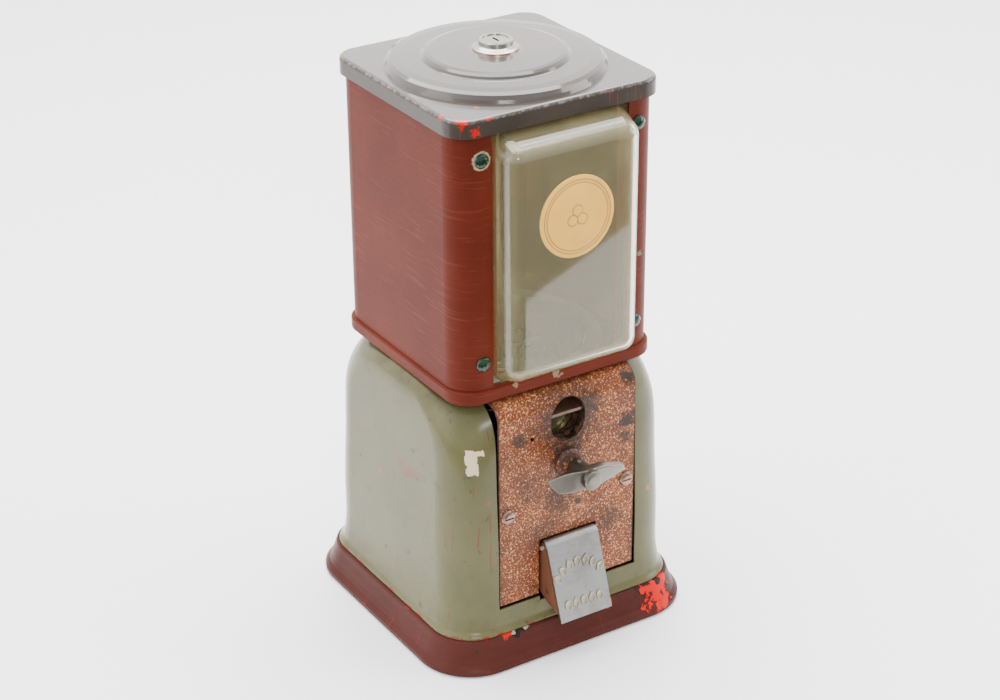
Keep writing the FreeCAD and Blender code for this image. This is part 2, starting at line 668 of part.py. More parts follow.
def delivery_chute():
    """drops from the exit plate, then slopes forward between two cheeks to the door"""
    body = new_body("delivery_chute")
    hinge = ("-hinge_front", "hinge_height")
    outer = [
        (-46.5, 139), (-22.8, 139), (-22.8, 103), (-81.2, 40.3), (-89.6, 36.3), (-104, 33),
        ("-hinge_front - 2.83", "hinge_height + 1"), ("-hinge_front", "hinge_height + 1"),
        ("-hinge_front + 2.7", "hinge_height - 0.8"), (-80, "hinge_height - 0.4"),
        (-81, 82.3), (-46.5, 101)]
    inner = [
        (-45.3, 150), (-24, 150), (-24, 103.5), (-82, 41.2), (-89.8, 37.5), (-104.5, 34.2),
        (-112, 34.2), (-112, 95), (-82, 95), (-80.4, 80.9), (-45.3, 100.2)]
    pad(body, polygon(new_sketch(body, "YZ"), outer), "2 * chute_half", True)
    pad(body, circle(new_sketch(body, "YZ"), *hinge, "ear_radius"), "2 * chute_half", True)
    cavity = polygon(new_sketch(body, "YZ"), inner)
    pocket(body, cavity, "2 * (chute_half - sheet_wall)", True)
    hole = circle(new_sketch(body, "YZ"), *hinge, "hinge_pin_radius")
    pocket(body, hole, "3 * chute_half", True)


def chute_door():
    """a flap bent over its hinge pin at the top, with two knuckles inside the bend"""
    body = new_body("chute_door", (0, "-hinge_front", "hinge_height"))
    lean = FreeCAD.Rotation(FreeCAD.Vector(1, 0, 0), -value("door_slant"))
    back_edge = value("door_wrap + door_slant")
    body.Placement = FreeCAD.Placement(body.Placement.Base, lean)
    inner = value("door_bend")
    outer = value("door_bend + door_thick")
    long = value("door_length")
    sketch = new_sketch(body, "YZ")
    corner = FreeCAD.Vector
    lines = [
        arc(corner(0, 0, 0), outer, back_edge, 180),
        Part.LineSegment(corner(-outer, 0, 0), corner(-outer, -long, 0)),
        Part.LineSegment(corner(-outer, -long, 0), corner(-inner, -long, 0)),
        Part.LineSegment(corner(-inner, -long, 0), corner(-inner, 0, 0)),
        arc(corner(0, 0, 0), inner, back_edge, 180)]
    ends = [line.StartPoint for line in (lines[4], lines[0])]
    lines.append(Part.LineSegment(*ends))
    for line in lines:
        sketch.addGeometry(line, False)
    for first, end, second, start in (
            (0, 2, 1, 1), (1, 2, 2, 1), (2, 2, 3, 1), (3, 2, 4, 2), (4, 1, 5, 1), (5, 2, 0, 1)):
        sketch.addConstraint(Sketcher.Constraint("Coincident", first, end, second, start))
    for edge, radius in ((0, "door_bend + door_thick"), (4, "door_bend")):
        hold_point(sketch, edge, 3, 0, 0)
        hold_radius(sketch, edge, radius)
    hold_point(sketch, 1, 2, "-door_bend - door_thick", "-door_length")
    hold_point(sketch, 2, 2, "-door_bend", "-door_length")
    for edge, end in ((1, 1), (3, 2)):
        sketch.addConstraint(Sketcher.Constraint("PointOnObject", edge, end, -1))
    pad(body, sketch, "2 * chute_half", True)
    for side in (-1, 1):
        place = f"{side} * (knuckle_inner + knuckle_outer) / 2"
        ring = circle(new_sketch(body, "YZ", place), 0, 0, "knuckle_radius")
        pad(body, ring, "knuckle_outer - knuckle_inner", True)
    bore = circle(new_sketch(body, "YZ"), 0, 0, "hinge_pin_radius + fit_gap")
    pocket(body, bore, "2 * chute_half", True)


def door_hinge_pin():
    body = new_body("door_hinge_pin")
    pin = circle(new_sketch(body, "YZ"), "-hinge_front", "hinge_height", "hinge_pin_radius")
    pad(body, pin, "2 * hinge_pin_half", True)


# ---- hopper and window ----

def hopper_shell():
    """a square hopper with a lip band below, an inward flange and an open front"""
    body = new_body("hopper_shell")
    band = rounded_square(new_sketch(body, "XY", "band_low"), "band_half", "hopper_corner - 0.2")
    pad(body, band, "band_top - band_low")
    fillet(body, 1.6, lambda edge: edge.BoundBox.ZLength < 0.01)
    wall = rounded_square(new_sketch(body, "XY", "band_low"), "hopper_half", "hopper_corner")
    pad(body, wall, "hopper_top - band_low")
    inside = ("hopper_half - sheet_wall", "hopper_corner - sheet_wall")
    hollow = rounded_square(new_sketch(body, "XY", "shell_top + sheet_wall"), *inside)
    pocket(body, hollow, "hopper_top")
    under = rounded_square(new_sketch(body, "XY", "band_low - 1"), *inside)
    pocket(body, under, "shell_top - band_low + 1")
    mouth = circle(new_sketch(body, "XY", "band_low"), 0, 0, "funnel_top + 2")
    pocket(body, mouth, 10)
    front = "hopper_half - sheet_wall - 0.6"
    holes = new_sketch(body, "XZ", front)
    polygon(holes, rectangle("-opening_half", "opening_low", "opening_half", "hopper_top + 1"))
    for side in (-1, 1):
        for level in ("rivet_low", "rivet_high"):
            circle(holes, f"{side} * rivet_side", level, "rivet_shank + 0.1")
    pocket(body, holes, 10)


def window_bubble():
    """a clear panel drawn out into a shallow box, with a flange clamped behind the hopper"""
    body = new_body("window_bubble")
    wall = "bubble_wall"
    root = polygon(new_sketch(body, "XZ", "flange_front - 0.2"), rectangle(
        "-bubble_half", "bubble_low", "bubble_half", "bubble_top"))
    face = polygon(new_sketch(body, "XZ", "bubble_face"), rectangle(
        "-face_half", "face_low", "face_half", "face_top"))
    loft(body, "AdditiveLoft", [root, face], True)
    behind = value("flange_front") + 0.5
    fillet(body, "bubble_edge", lambda edge: middle(edge).y < -behind)
    flange = polygon(new_sketch(body, "XZ", "flange_front - flange_thick"), rectangle(
        "-flange_half", "flange_low", "flange_half", "flange_top"))
    pad(body, flange, "flange_thick")
    holes = new_sketch(body, "XZ", "flange_front - flange_thick - 1")
    for side in (-1, 1):
        for level in ("rivet_low", "rivet_high"):
            circle(holes, f"{side} * rivet_side", level, "rivet_shank + 0.1")
    pocket(body, holes, 5)
    hollow = new_body("bubble_hollow")
    deep = polygon(new_sketch(hollow, "XZ", "flange_front - flange_thick - 1"), rectangle(
        f"{wall} - bubble_half", f"bubble_low + {wall}", f"bubble_half - {wall}",
        f"bubble_top - {wall}"))
    near = polygon(new_sketch(hollow, "XZ", f"bubble_face - {wall}"), rectangle(
        f"{wall} - face_half", f"face_low + {wall}", f"face_half - {wall}",
        f"face_top - {wall}"))
    loft(hollow, "AdditiveLoft", [deep, near], True)
    fillet(hollow, f"bubble_edge - {wall}", lambda edge: middle(edge).y < -value("flange_front"))
    outside, inside = nodes.pop("window_bubble"), nodes.pop("bubble_hollow")
    outside.Label = "window_outside"
    cut = doc.addObject("Part::Cut", "window_cut")
    cut.Base, cut.Tool = outside, inside
    cut.Label = "window_bubble"
    nodes["window_bubble"] = cut


def window_strip(label, side):
    body = new_body(label)
    back = "flange_front - flange_thick - strip_thick"
    edges = sorted([f"{side} * strip_inner", f"{side} * flange_half"], key=value)
    strip = rectangle(edges[0], "flange_low + 4", edges[1], "flange_top - 2")
    pad(body, polygon(new_sketch(body, "XZ", back), strip), "strip_thick")
    holes = new_sketch(body, "XZ", f"{back} - 1")
    for level in ("rivet_low", "rivet_high"):
        circle(holes, f"{side} * rivet_side", level, "rivet_shank + 0.1")
    pocket(body, holes, 5)


def window_rivets():
    tail = "flange_front - flange_thick - strip_thick - hopper_half"
    turned("rivet_template", [
        (0, f"{tail} - 0.9"), (3, f"{tail} - 0.9"), (3, tail), ("rivet_shank", tail),
        ("rivet_shank", 0), ("rivet_head", 0), ("rivet_head - 0.3", 0.9),
        ("rivet_head - 1.4", 2.1), ("rivet_head - 3", "rivet_rise - 0.2"), (0, "rivet_rise")],
        (0, "-hopper_half", 0), True)
    places = [(f"{side} * rivet_side", level) for side in (-1, 1)
              for level in ("rivet_low", "rivet_high")]
    group("window_rivets", "rivet_template", places)


def display_disc():
    turned("display_disc", [
        (0, 0), ("disc_radius", 0), ("disc_radius", "disc_thick"), (0, "disc_thick")],
        (0, "disc_thick + bubble_wall - bubble_face", "disc_height"), True)


# ---- lid and lock ----

def lid():
    """a pressed square lid with two shallow round steps, open below"""
    body = new_body("lid")
    outer = rounded_square(new_sketch(body, "XY", "lid_low"), "lid_half", "lid_corner")
    pad(body, outer, "lid_flat - lid_low")
    top = value("lid_flat")
    fillet(body, "lid_edge", lambda edge: abs(edge.BoundBox.ZMin - top) < 0.01)
    inner = rounded_square(new_sketch(body, "XY", "lid_low - 1"), "lid_half - lid_wall",
                           "lid_corner - lid_wall")
    pocket(body, inner, "lid_flat - lid_low + 1 - lid_wall")
    hole = circle(new_sketch(body, "XY", "lid_flat - 5"), 0, 0, "dome_base - 1")
    pocket(body, hole, 10)
    steps = [(0, 0), (-0.8, 2), (-2.5, 4.5), (-5, 5.9), (-11, 6.4), (-23.5, 6.7),
             (-24.7, 8.1), (-26.4, 9.3), (-29, 9.8)]
    outside = [(f"dome_base + ({inward})", f"lid_flat + {rise}") for inward, rise in steps]
    inside = [(f"dome_base - 1 + ({inward})", f"lid_flat - 1 + {rise}")
              for inward, rise in steps]
    inside[0] = ("dome_base - 1", "lid_flat - lid_wall")
    closing = [("lock_stem + 0.1", "lid_flat + 10.1"), ("lock_stem + 0.1", "lid_flat + 9.1")]
    corner = [("dome_base", "lid_flat - lid_wall")]
    revolve(body, outside + closing + inside[::-1] + corner)


def lock_body():
    turned("lock_body", [
        ("lock_bore", "lock_low"), ("lock_stem", "lock_low"), ("lock_stem", "lid_flat + 10.1"),
        ("lock_stem + 3.75", "lid_flat + 10.1"), ("lock_stem + 3.75", "lid_flat + 11.2"),
        ("lock_stem + 1.6", "lid_flat + 12"), ("lock_stem", "lid_flat + 13"),
        ("lock_stem", "lid_flat + 15.8"), ("lock_stem - 0.7", "lid_flat + 16.5"),
        ("lock_bore", "lid_flat + 16.5")])


def lock_nut():
    body = new_body("lock_nut", (0, 0, "lid_flat + 5"))
    pad(body, polygon(new_sketch(body, "XY"), hexagon(28)), 4)
    pocket(body, circle(new_sketch(body, "XY", -1), 0, 0, "lock_stem"), 8)


def lock_plug():
    """turns in the lock's body and takes the rod's end from below"""
    bore = "rod_radius + 0.08"
    body = turned("lock_plug", [
        (bore, "plug_low"), ("lock_bore - fit_gap", "plug_low"),
        ("lock_bore - fit_gap", "plug_top"), (0, "plug_top"), (0, "plug_seat"),
        (bore, "plug_seat")])
    key = rectangle(-0.9, -3.6, 0.9, 3.6)
    pocket(body, polygon(new_sketch(body, "XY", "key_floor"), key), 5)


def check_and_write():
    doc.recompute()
    for thing in doc.Objects:
        if "Invalid" in thing.State or "Error" in thing.State:
            raise RuntimeError(f"{thing.Name} ({thing.Label}) is {thing.State}")
    for label, thing in nodes.items():
        if thing.Shape.isNull() or not thing.Shape.isValid():
            raise RuntimeError(f"{label} has no valid shape")
    for label, thing in nodes.items():
        thing.Shape.exportStep(f"parts/{label}.step")
        print(f"{label:20s} {len(thing.Shape.Solids)} solid(s) {thing.Shape.Volume:10.0f} mm3")


for maker in (
        foot_skirt, base_plate, stand_nut, rod_jam_nut, center_rod, body_shell, mech_plate,
        coin_cup, coin_gate, coin_wheel, shaft_bushing, handle_shaft, wing_handle, handle_pin,
        mech_frame, plate_screws, coin_pawl, pawl_pin, pawl_spring, drive_pinion,
        dispensing_wheel, agitator, rod_collar, exit_plate, ball_funnel, ball_deflector,
        delivery_chute, chute_door, door_hinge_pin, hopper_shell, window_bubble,
        window_rivets, display_disc, lid, lock_body, lock_nut, lock_plug):
    maker()
window_strip("window_strip_left", -1)
window_strip("window_strip_right", 1)
check_and_write()
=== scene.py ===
import json
import math

import bpy
from mathutils import Matrix, Vector


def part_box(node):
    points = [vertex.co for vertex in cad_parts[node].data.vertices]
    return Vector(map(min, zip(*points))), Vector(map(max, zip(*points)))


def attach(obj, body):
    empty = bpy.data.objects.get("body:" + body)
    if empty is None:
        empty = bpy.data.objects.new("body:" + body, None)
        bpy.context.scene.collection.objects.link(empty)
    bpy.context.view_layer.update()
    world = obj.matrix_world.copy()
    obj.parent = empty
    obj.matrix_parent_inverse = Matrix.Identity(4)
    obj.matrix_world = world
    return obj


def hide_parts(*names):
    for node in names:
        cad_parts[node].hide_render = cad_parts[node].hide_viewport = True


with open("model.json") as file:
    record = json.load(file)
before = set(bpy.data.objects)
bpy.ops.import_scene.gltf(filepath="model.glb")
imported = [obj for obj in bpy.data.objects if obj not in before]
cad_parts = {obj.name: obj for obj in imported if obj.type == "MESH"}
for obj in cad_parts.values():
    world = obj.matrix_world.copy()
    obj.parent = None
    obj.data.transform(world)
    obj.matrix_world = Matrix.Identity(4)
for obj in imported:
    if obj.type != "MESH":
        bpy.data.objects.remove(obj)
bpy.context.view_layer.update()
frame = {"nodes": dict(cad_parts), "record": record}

nodes = frame["nodes"]
mm = 0.001


def box(name):
    low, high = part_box(name)
    return Vector(low), Vector(high)


cameraSettings = {
    "place": Vector((-0.73048, -1.16520, 0.88370)),
    "azimuth": -32.14, "elevation": 27.167, "roll": -0.406, "lens": 83.71, "sensor": 36.0,
}


def makeCamera(settings):
    azimuth = math.radians(settings["azimuth"])
    elevation = math.radians(settings["elevation"])
    roll = math.radians(settings["roll"])
    back = Vector((math.sin(azimuth) * math.cos(elevation),
                   -math.cos(azimuth) * math.cos(elevation), math.sin(elevation)))
    right = Vector((math.cos(azimuth), math.sin(azimuth), 0))
    up = back.cross(right)
    tiltedRight = right * math.cos(roll) + up * math.sin(roll)
    tiltedUp = up * math.cos(roll) - right * math.sin(roll)
    data = bpy.data.cameras.new("camera")
    data.lens = settings["lens"]
    data.sensor_width = settings["sensor"]
    data.clip_end = 20
    camera = bpy.data.objects.new("camera", data)
    bpy.context.scene.collection.objects.link(camera)
    turn = Matrix((tiltedRight, tiltedUp, back)).transposed().to_4x4()
    camera.matrix_world = Matrix.Translation(settings["place"]) @ turn
    bpy.context.scene.camera = camera


# adds nodes to a material or a group and links them
class Tree:
    def __init__(self, tree):
        self.tree = tree

    def add(self, kind, inputs=None, **settings):
        made = self.tree.nodes.new("ShaderNode" + kind)
        for name, setting in settings.items():
            setattr(made, name, setting)
        for name, given in (inputs or {}).items():
            self.give(made.inputs[name], given)
        return made

    def give(self, socket, given):
        if isinstance(given, bpy.types.NodeSocket):
            self.tree.links.new(given, socket)
        elif isinstance(given, tuple) and len(given) == 3 and socket.type == "RGBA":
            socket.default_value = (*given, 1)
        else:
            socket.default_value = given

    def math(self, operation, first, second=0.0, clamp=False):
        made = self.add("Math", {0: first, 1: second}, operation=operation)
        made.use_clamp = clamp
        return made.outputs[0]

    # 0 below low, 1 above high, and smooth between them
    def step(self, value, low, high):
        made = self.add("MapRange", {"Value": value, "From Min": low, "From Max": high},
                        interpolation_type="SMOOTHSTEP")
        return made.outputs[0]

    def mix(self, factor, first, second):
        made = self.add("Mix", data_type="RGBA")
        self.give(made.inputs[0], factor)
        self.give(made.inputs[6], first)
        self.give(made.inputs[7], second)
        return made.outputs[2]

    def noise(self, vector, scale, detail=4.0, rough=0.55, distortion=0.0):
        made = self.add("TexNoise", {"Vector": vector, "Scale": scale, "Detail": detail,
                                     "Roughness": rough, "Distortion": distortion})
        return made.outputs["Fac"]

    def stretched(self, vector, scale, turn=(0, 0, 0)):
        made = self.add("Mapping", {"Vector": vector, "Scale": scale, "Rotation": turn})
        return made.outputs[0]

    def objectPlace(self):
        return self.add("TexCoord").outputs["Object"]

    def apart(self, vector):
        made = self.add("SeparateXYZ", {0: vector})
        return made.outputs[0], made.outputs[1], made.outputs[2]


def newGroup(name, inputs, outputs):
    group = bpy.data.node_groups.new(name, "ShaderNodeTree")
    for label, kind, start in inputs:
        socket = group.interface.new_socket(label, in_out="INPUT", socket_type="NodeSocket" + kind)
        if start is not None:
            socket.default_value = (*start, 1) if kind == "Color" else start
    for label, kind in outputs:
        group.interface.new_socket(label, in_out="OUTPUT", socket_type="NodeSocket" + kind)
    tree = Tree(group)
    given = group.nodes.new("NodeGroupInput").outputs
    taken = group.nodes.new("NodeGroupOutput").inputs
    return group, tree, given, taken


# a ragged mask round one place
def makeSpotGroup():
    group, tree, given, taken = newGroup("raggedSpot", [
        ("Vector", "Vector", None), ("Centre", "Vector", None), ("Radius", "Float", 0.01),
        ("Ragged", "Float", 0.5), ("Grain", "Float", 150.0), ("Soft", "Float", 0.05)],
        [("Mask", "Float")])
    away = tree.add("VectorMath", {0: given["Vector"], 1: given["Centre"]}, operation="DISTANCE")
    near = tree.math("DIVIDE", away.outputs["Value"], given["Radius"])
    rough = tree.noise(given["Vector"], given["Grain"], 5, 0.65)
    bent = tree.math("ADD", near, tree.math("MULTIPLY", tree.math("SUBTRACT", rough, 0.5),
                                            tree.math("MULTIPLY", given["Ragged"], 4.0)))
    tree.give(taken["Mask"], tree.math("SUBTRACT", 1.0, tree.step(
        bent, tree.math("SUBTRACT", 0.95, given["Soft"]), tree.math("ADD", 1.0, given["Soft"]))))
    return group


# enamel over metal: uneven tone, grime specks, hairline scratches and ragged chips
def makePaintGroup():
    group, tree, given, taken = newGroup("wornPaint", [
        ("Vector", "Vector", None), ("Paint", "Color", (0.2, 0.2, 0.2)),
        ("Shade", "Color", (0.1, 0.1, 0.1)), ("Under", "Color", (0.05, 0.03, 0.03)),
        ("Grime", "Color", (0.03, 0.02, 0.015)), ("Chips", "Float", 0.3),
        ("Edge", "Float", 0.0), ("Specks", "Float", 0.3), ("Scratches", "Float", 0.3),
        ("Gloss", "Float", 0.3)],
        [("Color", "Color"), ("Roughness", "Float"), ("Height", "Float")])
    place = given["Vector"]
    cloud = tree.step(tree.noise(place, 14, 5, 0.6), 0.3, 0.72)
    tone = tree.mix(cloud, given["Paint"], given["Shade"])
    fine = tree.noise(place, 420, 3, 0.6)
    tone = tree.mix(tree.math("MULTIPLY", tree.step(fine, 0.5, 0.85), 0.35), tone, given["Shade"])
    speckNoise = tree.noise(place, 160, 6, 0.7)
    speckLimit = tree.math("SUBTRACT", 0.72, tree.math("MULTIPLY", given["Specks"], 0.13))
    speck = tree.step(tree.math("SUBTRACT", speckNoise, speckLimit), 0.0, 0.03)
    tone = tree.mix(tree.math("MULTIPLY", speck, 0.75), tone, given["Grime"])
    scratch = None
    for turn, scale in (((0.3, 0.5, 0.4), (700, 16, 22)), ((1.2, 0.2, 2.1), (14, 640, 20))):
        lines = tree.noise(tree.stretched(place, scale, turn), 1.0, 2, 0.5)
        mask = tree.step(lines, 0.66, 0.72)
        scratch = mask if scratch is None else tree.math("MAXIMUM", scratch, mask)
    broken = tree.step(tree.noise(place, 22, 3, 0.6), 0.48, 0.62)
    scratch = tree.math("MULTIPLY", tree.math("MULTIPLY", scratch, broken), given["Scratches"])
    tone = tree.mix(scratch, tone, given["Under"])
    chipNoise = tree.noise(place, 70, 9, 0.68)
    wish = tree.math("ADD", tree.math("MULTIPLY", given["Chips"], 0.12),
                     tree.math("MULTIPLY", given["Edge"], 0.26))
    chip = tree.step(tree.math("ADD", chipNoise, wish), 0.76, 0.785)
    tone = tree.mix(chip, tone, given["Under"])
    rough = tree.math("ADD", given["Gloss"], tree.math("MULTIPLY", fine, 0.10))
    rough = tree.math("ADD", rough, tree.math("MULTIPLY", tree.math("MAXIMUM", chip, speck), 0.25))
    height = tree.math("SUBTRACT", tree.math("MULTIPLY", tree.noise(place, 60, 4, 0.5), 0.25),
                       tree.math("ADD", tree.math("MULTIPLY", chip, 0.8), scratch))
    tree.give(taken["Color"], tone)
    tree.give(taken["Roughness"], rough)
    tree.give(taken["Height"], height)
    return group


# bare metal: brushed lines, stains and rust
def makeMetalGroup():
    group, tree, given, taken = newGroup("wornMetal", [
        ("Vector", "Vector", None), ("Metal", "Color", (0.5, 0.5, 0.5)),
        ("Stain", "Color", (0.2, 0.18, 0.15)), ("Rust", "Color", (0.16, 0.06, 0.02)),
        ("Stains", "Float", 0.4), ("Rusted", "Float", 0.1), ("Gloss", "Float", 0.3)],
        [("Color", "Color"), ("Roughness", "Float"), ("Metallic", "Float"), ("Height", "Float")])
    place = given["Vector"]
    cloud = tree.noise(place, 55, 6, 0.65)
    stain = tree.math("MULTIPLY", tree.step(cloud, 0.42, 0.7), given["Stains"])
    tone = tree.mix(stain, given["Metal"], given["Stain"])
    lines = tree.noise(tree.stretched(place, (60, 60, 900), (0.2, 0.1, 0)), 1.0, 3, 0.6)
    tone = tree.mix(tree.math("MULTIPLY", tree.step(lines, 0.45, 0.7), 0.16), tone, given["Stain"])
    rustNoise = tree.noise(place, 120, 8, 0.7)
    limit = tree.math("SUBTRACT", 0.8, tree.math("MULTIPLY", given["Rusted"], 0.5))
    rust = tree.step(tree.math("SUBTRACT", rustNoise, limit), 0.0, 0.08)
    tone = tree.mix(rust, tone, given["Rust"])
    rough = tree.math("ADD", given["Gloss"], tree.math("MULTIPLY", cloud, 0.18))
    rough = tree.math("ADD", rough, tree.math("MULTIPLY", rust, 0.35), True)
    tree.give(taken["Color"], tone)
    tree.give(taken["Roughness"], rough)
    tree.give(taken["Metallic"], tree.math("SUBTRACT", 1.0, tree.math("MULTIPLY", rust, 0.85)))
    tree.give(taken["Height"], tree.math("ADD", tree.math("MULTIPLY", lines, 0.2), rustNoise))
    return group


groups = {"spot": makeSpotGroup(), "paint": makePaintGroup(), "metal": makeMetalGroup()}


# one material with its Principled shader
class Finish:
    def __init__(self, name, **sockets):
        self.material = bpy.data.materials.new(name)
        self.material.use_nodes = True
        self.tree = Tree(self.material.node_tree)
        self.shader = self.material.node_tree.nodes["Principled BSDF"]
        for label, number in sockets.items():
            self.shader.inputs[label.replace("_", " ")].default_value = number
        self.place = self.tree.objectPlace()

    def group(self, name, **inputs):
        made = self.tree.add("Group", node_tree=groups[name])
        made.inputs["Vector"].default_value = (0, 0, 0)
        self.tree.give(made.inputs["Vector"], self.place)
        for label, given in inputs.items():
            self.tree.give(made.inputs[label], given)
        return made.outputs

    def spot(self, centre, radius, ragged=0.5, grain=150.0, soft=0.05):
        return self.group("spot", Centre=tuple(centre), Radius=radius, Ragged=ragged,
                          Grain=grain, Soft=soft)["Mask"]

    def feed(self, **sockets):
        for label, given in sockets.items():
            self.tree.give(self.shader.inputs[label.replace("_", " ")], given)

    def bump(self, height, strength=0.3, distance=0.0004):
        made = self.tree.add("Bump", {"Strength": strength, "Distance": distance,
                                      "Height": height})
        self.feed(Normal=made.outputs[0])


# 1 at a height, fading to 0 a width away from it
def edgeNear(finish, level, width, axis=2):
    part = finish.tree.apart(finish.place)[axis]
    off = finish.tree.math("ABSOLUTE", finish.tree.math("SUBTRACT", part, level))
    return finish.tree.math("SUBTRACT", 1.0, finish.tree.step(off, 0.0, width))


bodyPaint = {"paint": (0.104, 0.097, 0.041), "shade": (0.078, 0.074, 0.030),
             "under": (0.16, 0.02, 0.01), "grime": (0.05, 0.035, 0.02), "gloss": 0.2,
             # colour of the painted shade and dirt under the hopper and above the foot
             "shadeAndDirt": (0.045, 0.035, 0.012),
             # each spot: centre and radius in mm, colour
             "spots": (((-84, 30, 84), 3.5, (0.09, 0.07, 0.03)),
                       ((-84, 15, 105), 2.2, (0.3, 0.06, 0.03)),
                       ((-85, -67, 89), 2.6, (0.10, 0.06, 0.03)),
                       ((-60, -84, 120), 1.6, (0.28, 0.05, 0.03)),
                       ((82, 20, 120), 3, (0.1, 0.07, 0.03)),
                       ((66, -84, 92), 2.4, (0.35, 0.10, 0.06)),
                       ((10, 84, 110), 4, (0.1, 0.07, 0.03)),
                       ((-86, -40, 60), 1.8, (0.09, 0.06, 0.03)))}

# a torn paper label; sizes in mm
paperLabel = {"middle": (-67, 150.2), "half": (5.4, 8.6), "torn": 4.5, "behind": -50,
              "lostFrom": -65.9, "lostBelow": 154.6, "soft": 0.3, "colour": (0.62, 0.50, 0.32)}


# how much of the label covers a point of the body's front left corner
def paperMask(finish, label):
    tree = finish.tree
    across, along, up = tree.apart(finish.place)
    torn = tree.math("MULTIPLY", tree.math("SUBTRACT", tree.noise(finish.place, 260, 5, 0.6), 0.5),
                     label["torn"] * mm)
    across = tree.math("ADD", across, torn)
    up = tree.math("SUBTRACT", up, torn)
    soft = label["soft"] * mm
    paper = tree.math("LESS_THAN", along, label["behind"] * mm)
    for part, middle, half in zip((across, up), label["middle"], label["half"]):
        off = tree.math("ABSOLUTE", tree.math("SUBTRACT", part, middle * mm))
        paper = tree.math("MULTIPLY", paper, tree.step(
            tree.math("SUBTRACT", half * mm, off), 0.0, soft))
    right = tree.step(across, label["lostFrom"] * mm, label["lostFrom"] * mm + soft)
    upper = tree.step(up, label["lostBelow"] * mm, label["lostBelow"] * mm + soft)
    lost = tree.math("MULTIPLY", right, tree.math("SUBTRACT", 1.0, upper))
    return tree.math("MULTIPLY", paper, tree.math("SUBTRACT", 1.0, lost))


def makeBodyPaint(settings):
    finish = Finish("bodyEnamel", Coat_Weight=0.22, Coat_Roughness=0.22, Specular_IOR_Level=0.12)
    low, high = box("body_shell")
    tree = finish.tree
    rim = edgeNear(finish, low.z + 1 * mm, 3 * mm)
    paint = finish.group("paint", Paint=settings["paint"], Shade=settings["shade"],
                         Under=settings["under"], Grime=settings["grime"], Chips=0.15,
                         Edge=tree.math("MULTIPLY", rim, 0.8), Specks=0.8, Scratches=0.7,
                         Gloss=settings["gloss"])
    tone = paint["Color"]
    # painted shade mixed with dirt darkens the body under the hopper and above the foot
    shadeAndDirt = tree.math("MAXIMUM", edgeNear(finish, high.z + 1 * mm, 16 * mm),
                     tree.math("MULTIPLY", edgeNear(finish, low.z + 9 * mm, 10 * mm), 0.5))
    shadeAndDirt = tree.math("MULTIPLY", shadeAndDirt, tree.step(tree.noise(finish.place, 40, 6, 0.65), 0.35, 0.7))
    tone = tree.mix(tree.math("MULTIPLY", shadeAndDirt, 0.75), tone, settings["shadeAndDirt"])
    for centre, radius, colour in settings["spots"]:
        mask = finish.spot(Vector(centre) * mm, radius * mm, 0.5, 260)
        tone = tree.mix(tree.math("MULTIPLY", mask, 0.8), tone, colour)
    paper = paperMask(finish, paperLabel)
    tone = tree.mix(paper, tone, paperLabel["colour"])
    finish.feed(Base_Color=tone, Roughness=tree.math(
        "MAXIMUM", paint["Roughness"], tree.math("MULTIPLY", paper, 0.8)))
    finish.bump(tree.math("ADD", paint["Height"], tree.math("MULTIPLY", paper, 1.5)), 0.25)
    return finish.material


hopperPaint = {"paint": (0.106, 0.0185, 0.0100), "shade": (0.083, 0.0140, 0.0074),
               "under": (0.055, 0.025, 0.02), "grime": (0.04, 0.02, 0.015), "gloss": 0.36,
               "crack": (0.19, 0.045, 0.025), "bareRing": (0.42, 0.33, 0.21), "ringRadius": 6.2,
               "spots": (((-3, -75.9, 195.5), 3.4, (0.20, 0.13, 0.08)),
                         ((-35, -75.9, 195.5), 2.0, (0.20, 0.13, 0.08)),
                         ((61, -74, 262), 2.0, (0.16, 0.12, 0.08)))}


def makeHopperPaint(settings):
    finish = Finish("hopperEnamel", Specular_IOR_Level=0.05)
    tree = finish.tree
    low = box("hopper_shell")[0]
    rim = edgeNear(finish, low.z + 0.5 * mm, 2.0 * mm)
    paint = finish.group("paint", Paint=settings["paint"], Shade=settings["shade"],
                         Under=settings["under"], Grime=settings["grime"], Chips=0.12,
                         Edge=tree.math("MULTIPLY", rim, 0.45), Specks=0.35, Scratches=0.3,
                         Gloss=settings["gloss"])
    # fine level cracks in the old paint
    wave = tree.noise(finish.place, 30, 3, 0.5)
    wavy = tree.add("VectorMath", {0: finish.place, 1: (0, 0, 0)}, operation="ADD")
    shift = tree.add("CombineXYZ", {2: tree.math("MULTIPLY", wave, 0.004)})
    tree.give(wavy.inputs[1], shift.outputs[0])
    cracks = tree.noise(tree.stretched(wavy.outputs[0], (26, 26, 620)), 1.0, 4, 0.6)
    crack = tree.step(cracks, 0.56, 0.66)
    patchy = tree.step(tree.noise(finish.place, 12, 4, 0.6), 0.4, 0.6)
    strength = tree.math("ADD", 0.25, tree.math("MULTIPLY", patchy, 0.5))
    crack = tree.math("MULTIPLY", crack, strength)
    tone = tree.mix(tree.math("MULTIPLY", crack, 0.4), paint["Color"], settings["crack"])
    rivet = box("window_rivets")
    worn = Vector((rivet[0].x + 5 * mm, low.y + 1.8 * mm, rivet[1].z - 5 * mm))
    ring = finish.spot(worn, settings["ringRadius"] * mm, 0.22, 260)
    tone = tree.mix(ring, tone, settings["bareRing"])
    for centre, radius, colour in settings["spots"]:
        mask = finish.spot(Vector(centre) * mm, radius * mm, 1.1, 300)
        tone = tree.mix(mask, tone, colour)
    finish.feed(Base_Color=tone, Roughness=paint["Roughness"])
    height = tree.math("SUBTRACT", paint["Height"], tree.math("MULTIPLY", crack, 0.8))
    finish.bump(height, 0.3, 0.0003)
    return finish.material


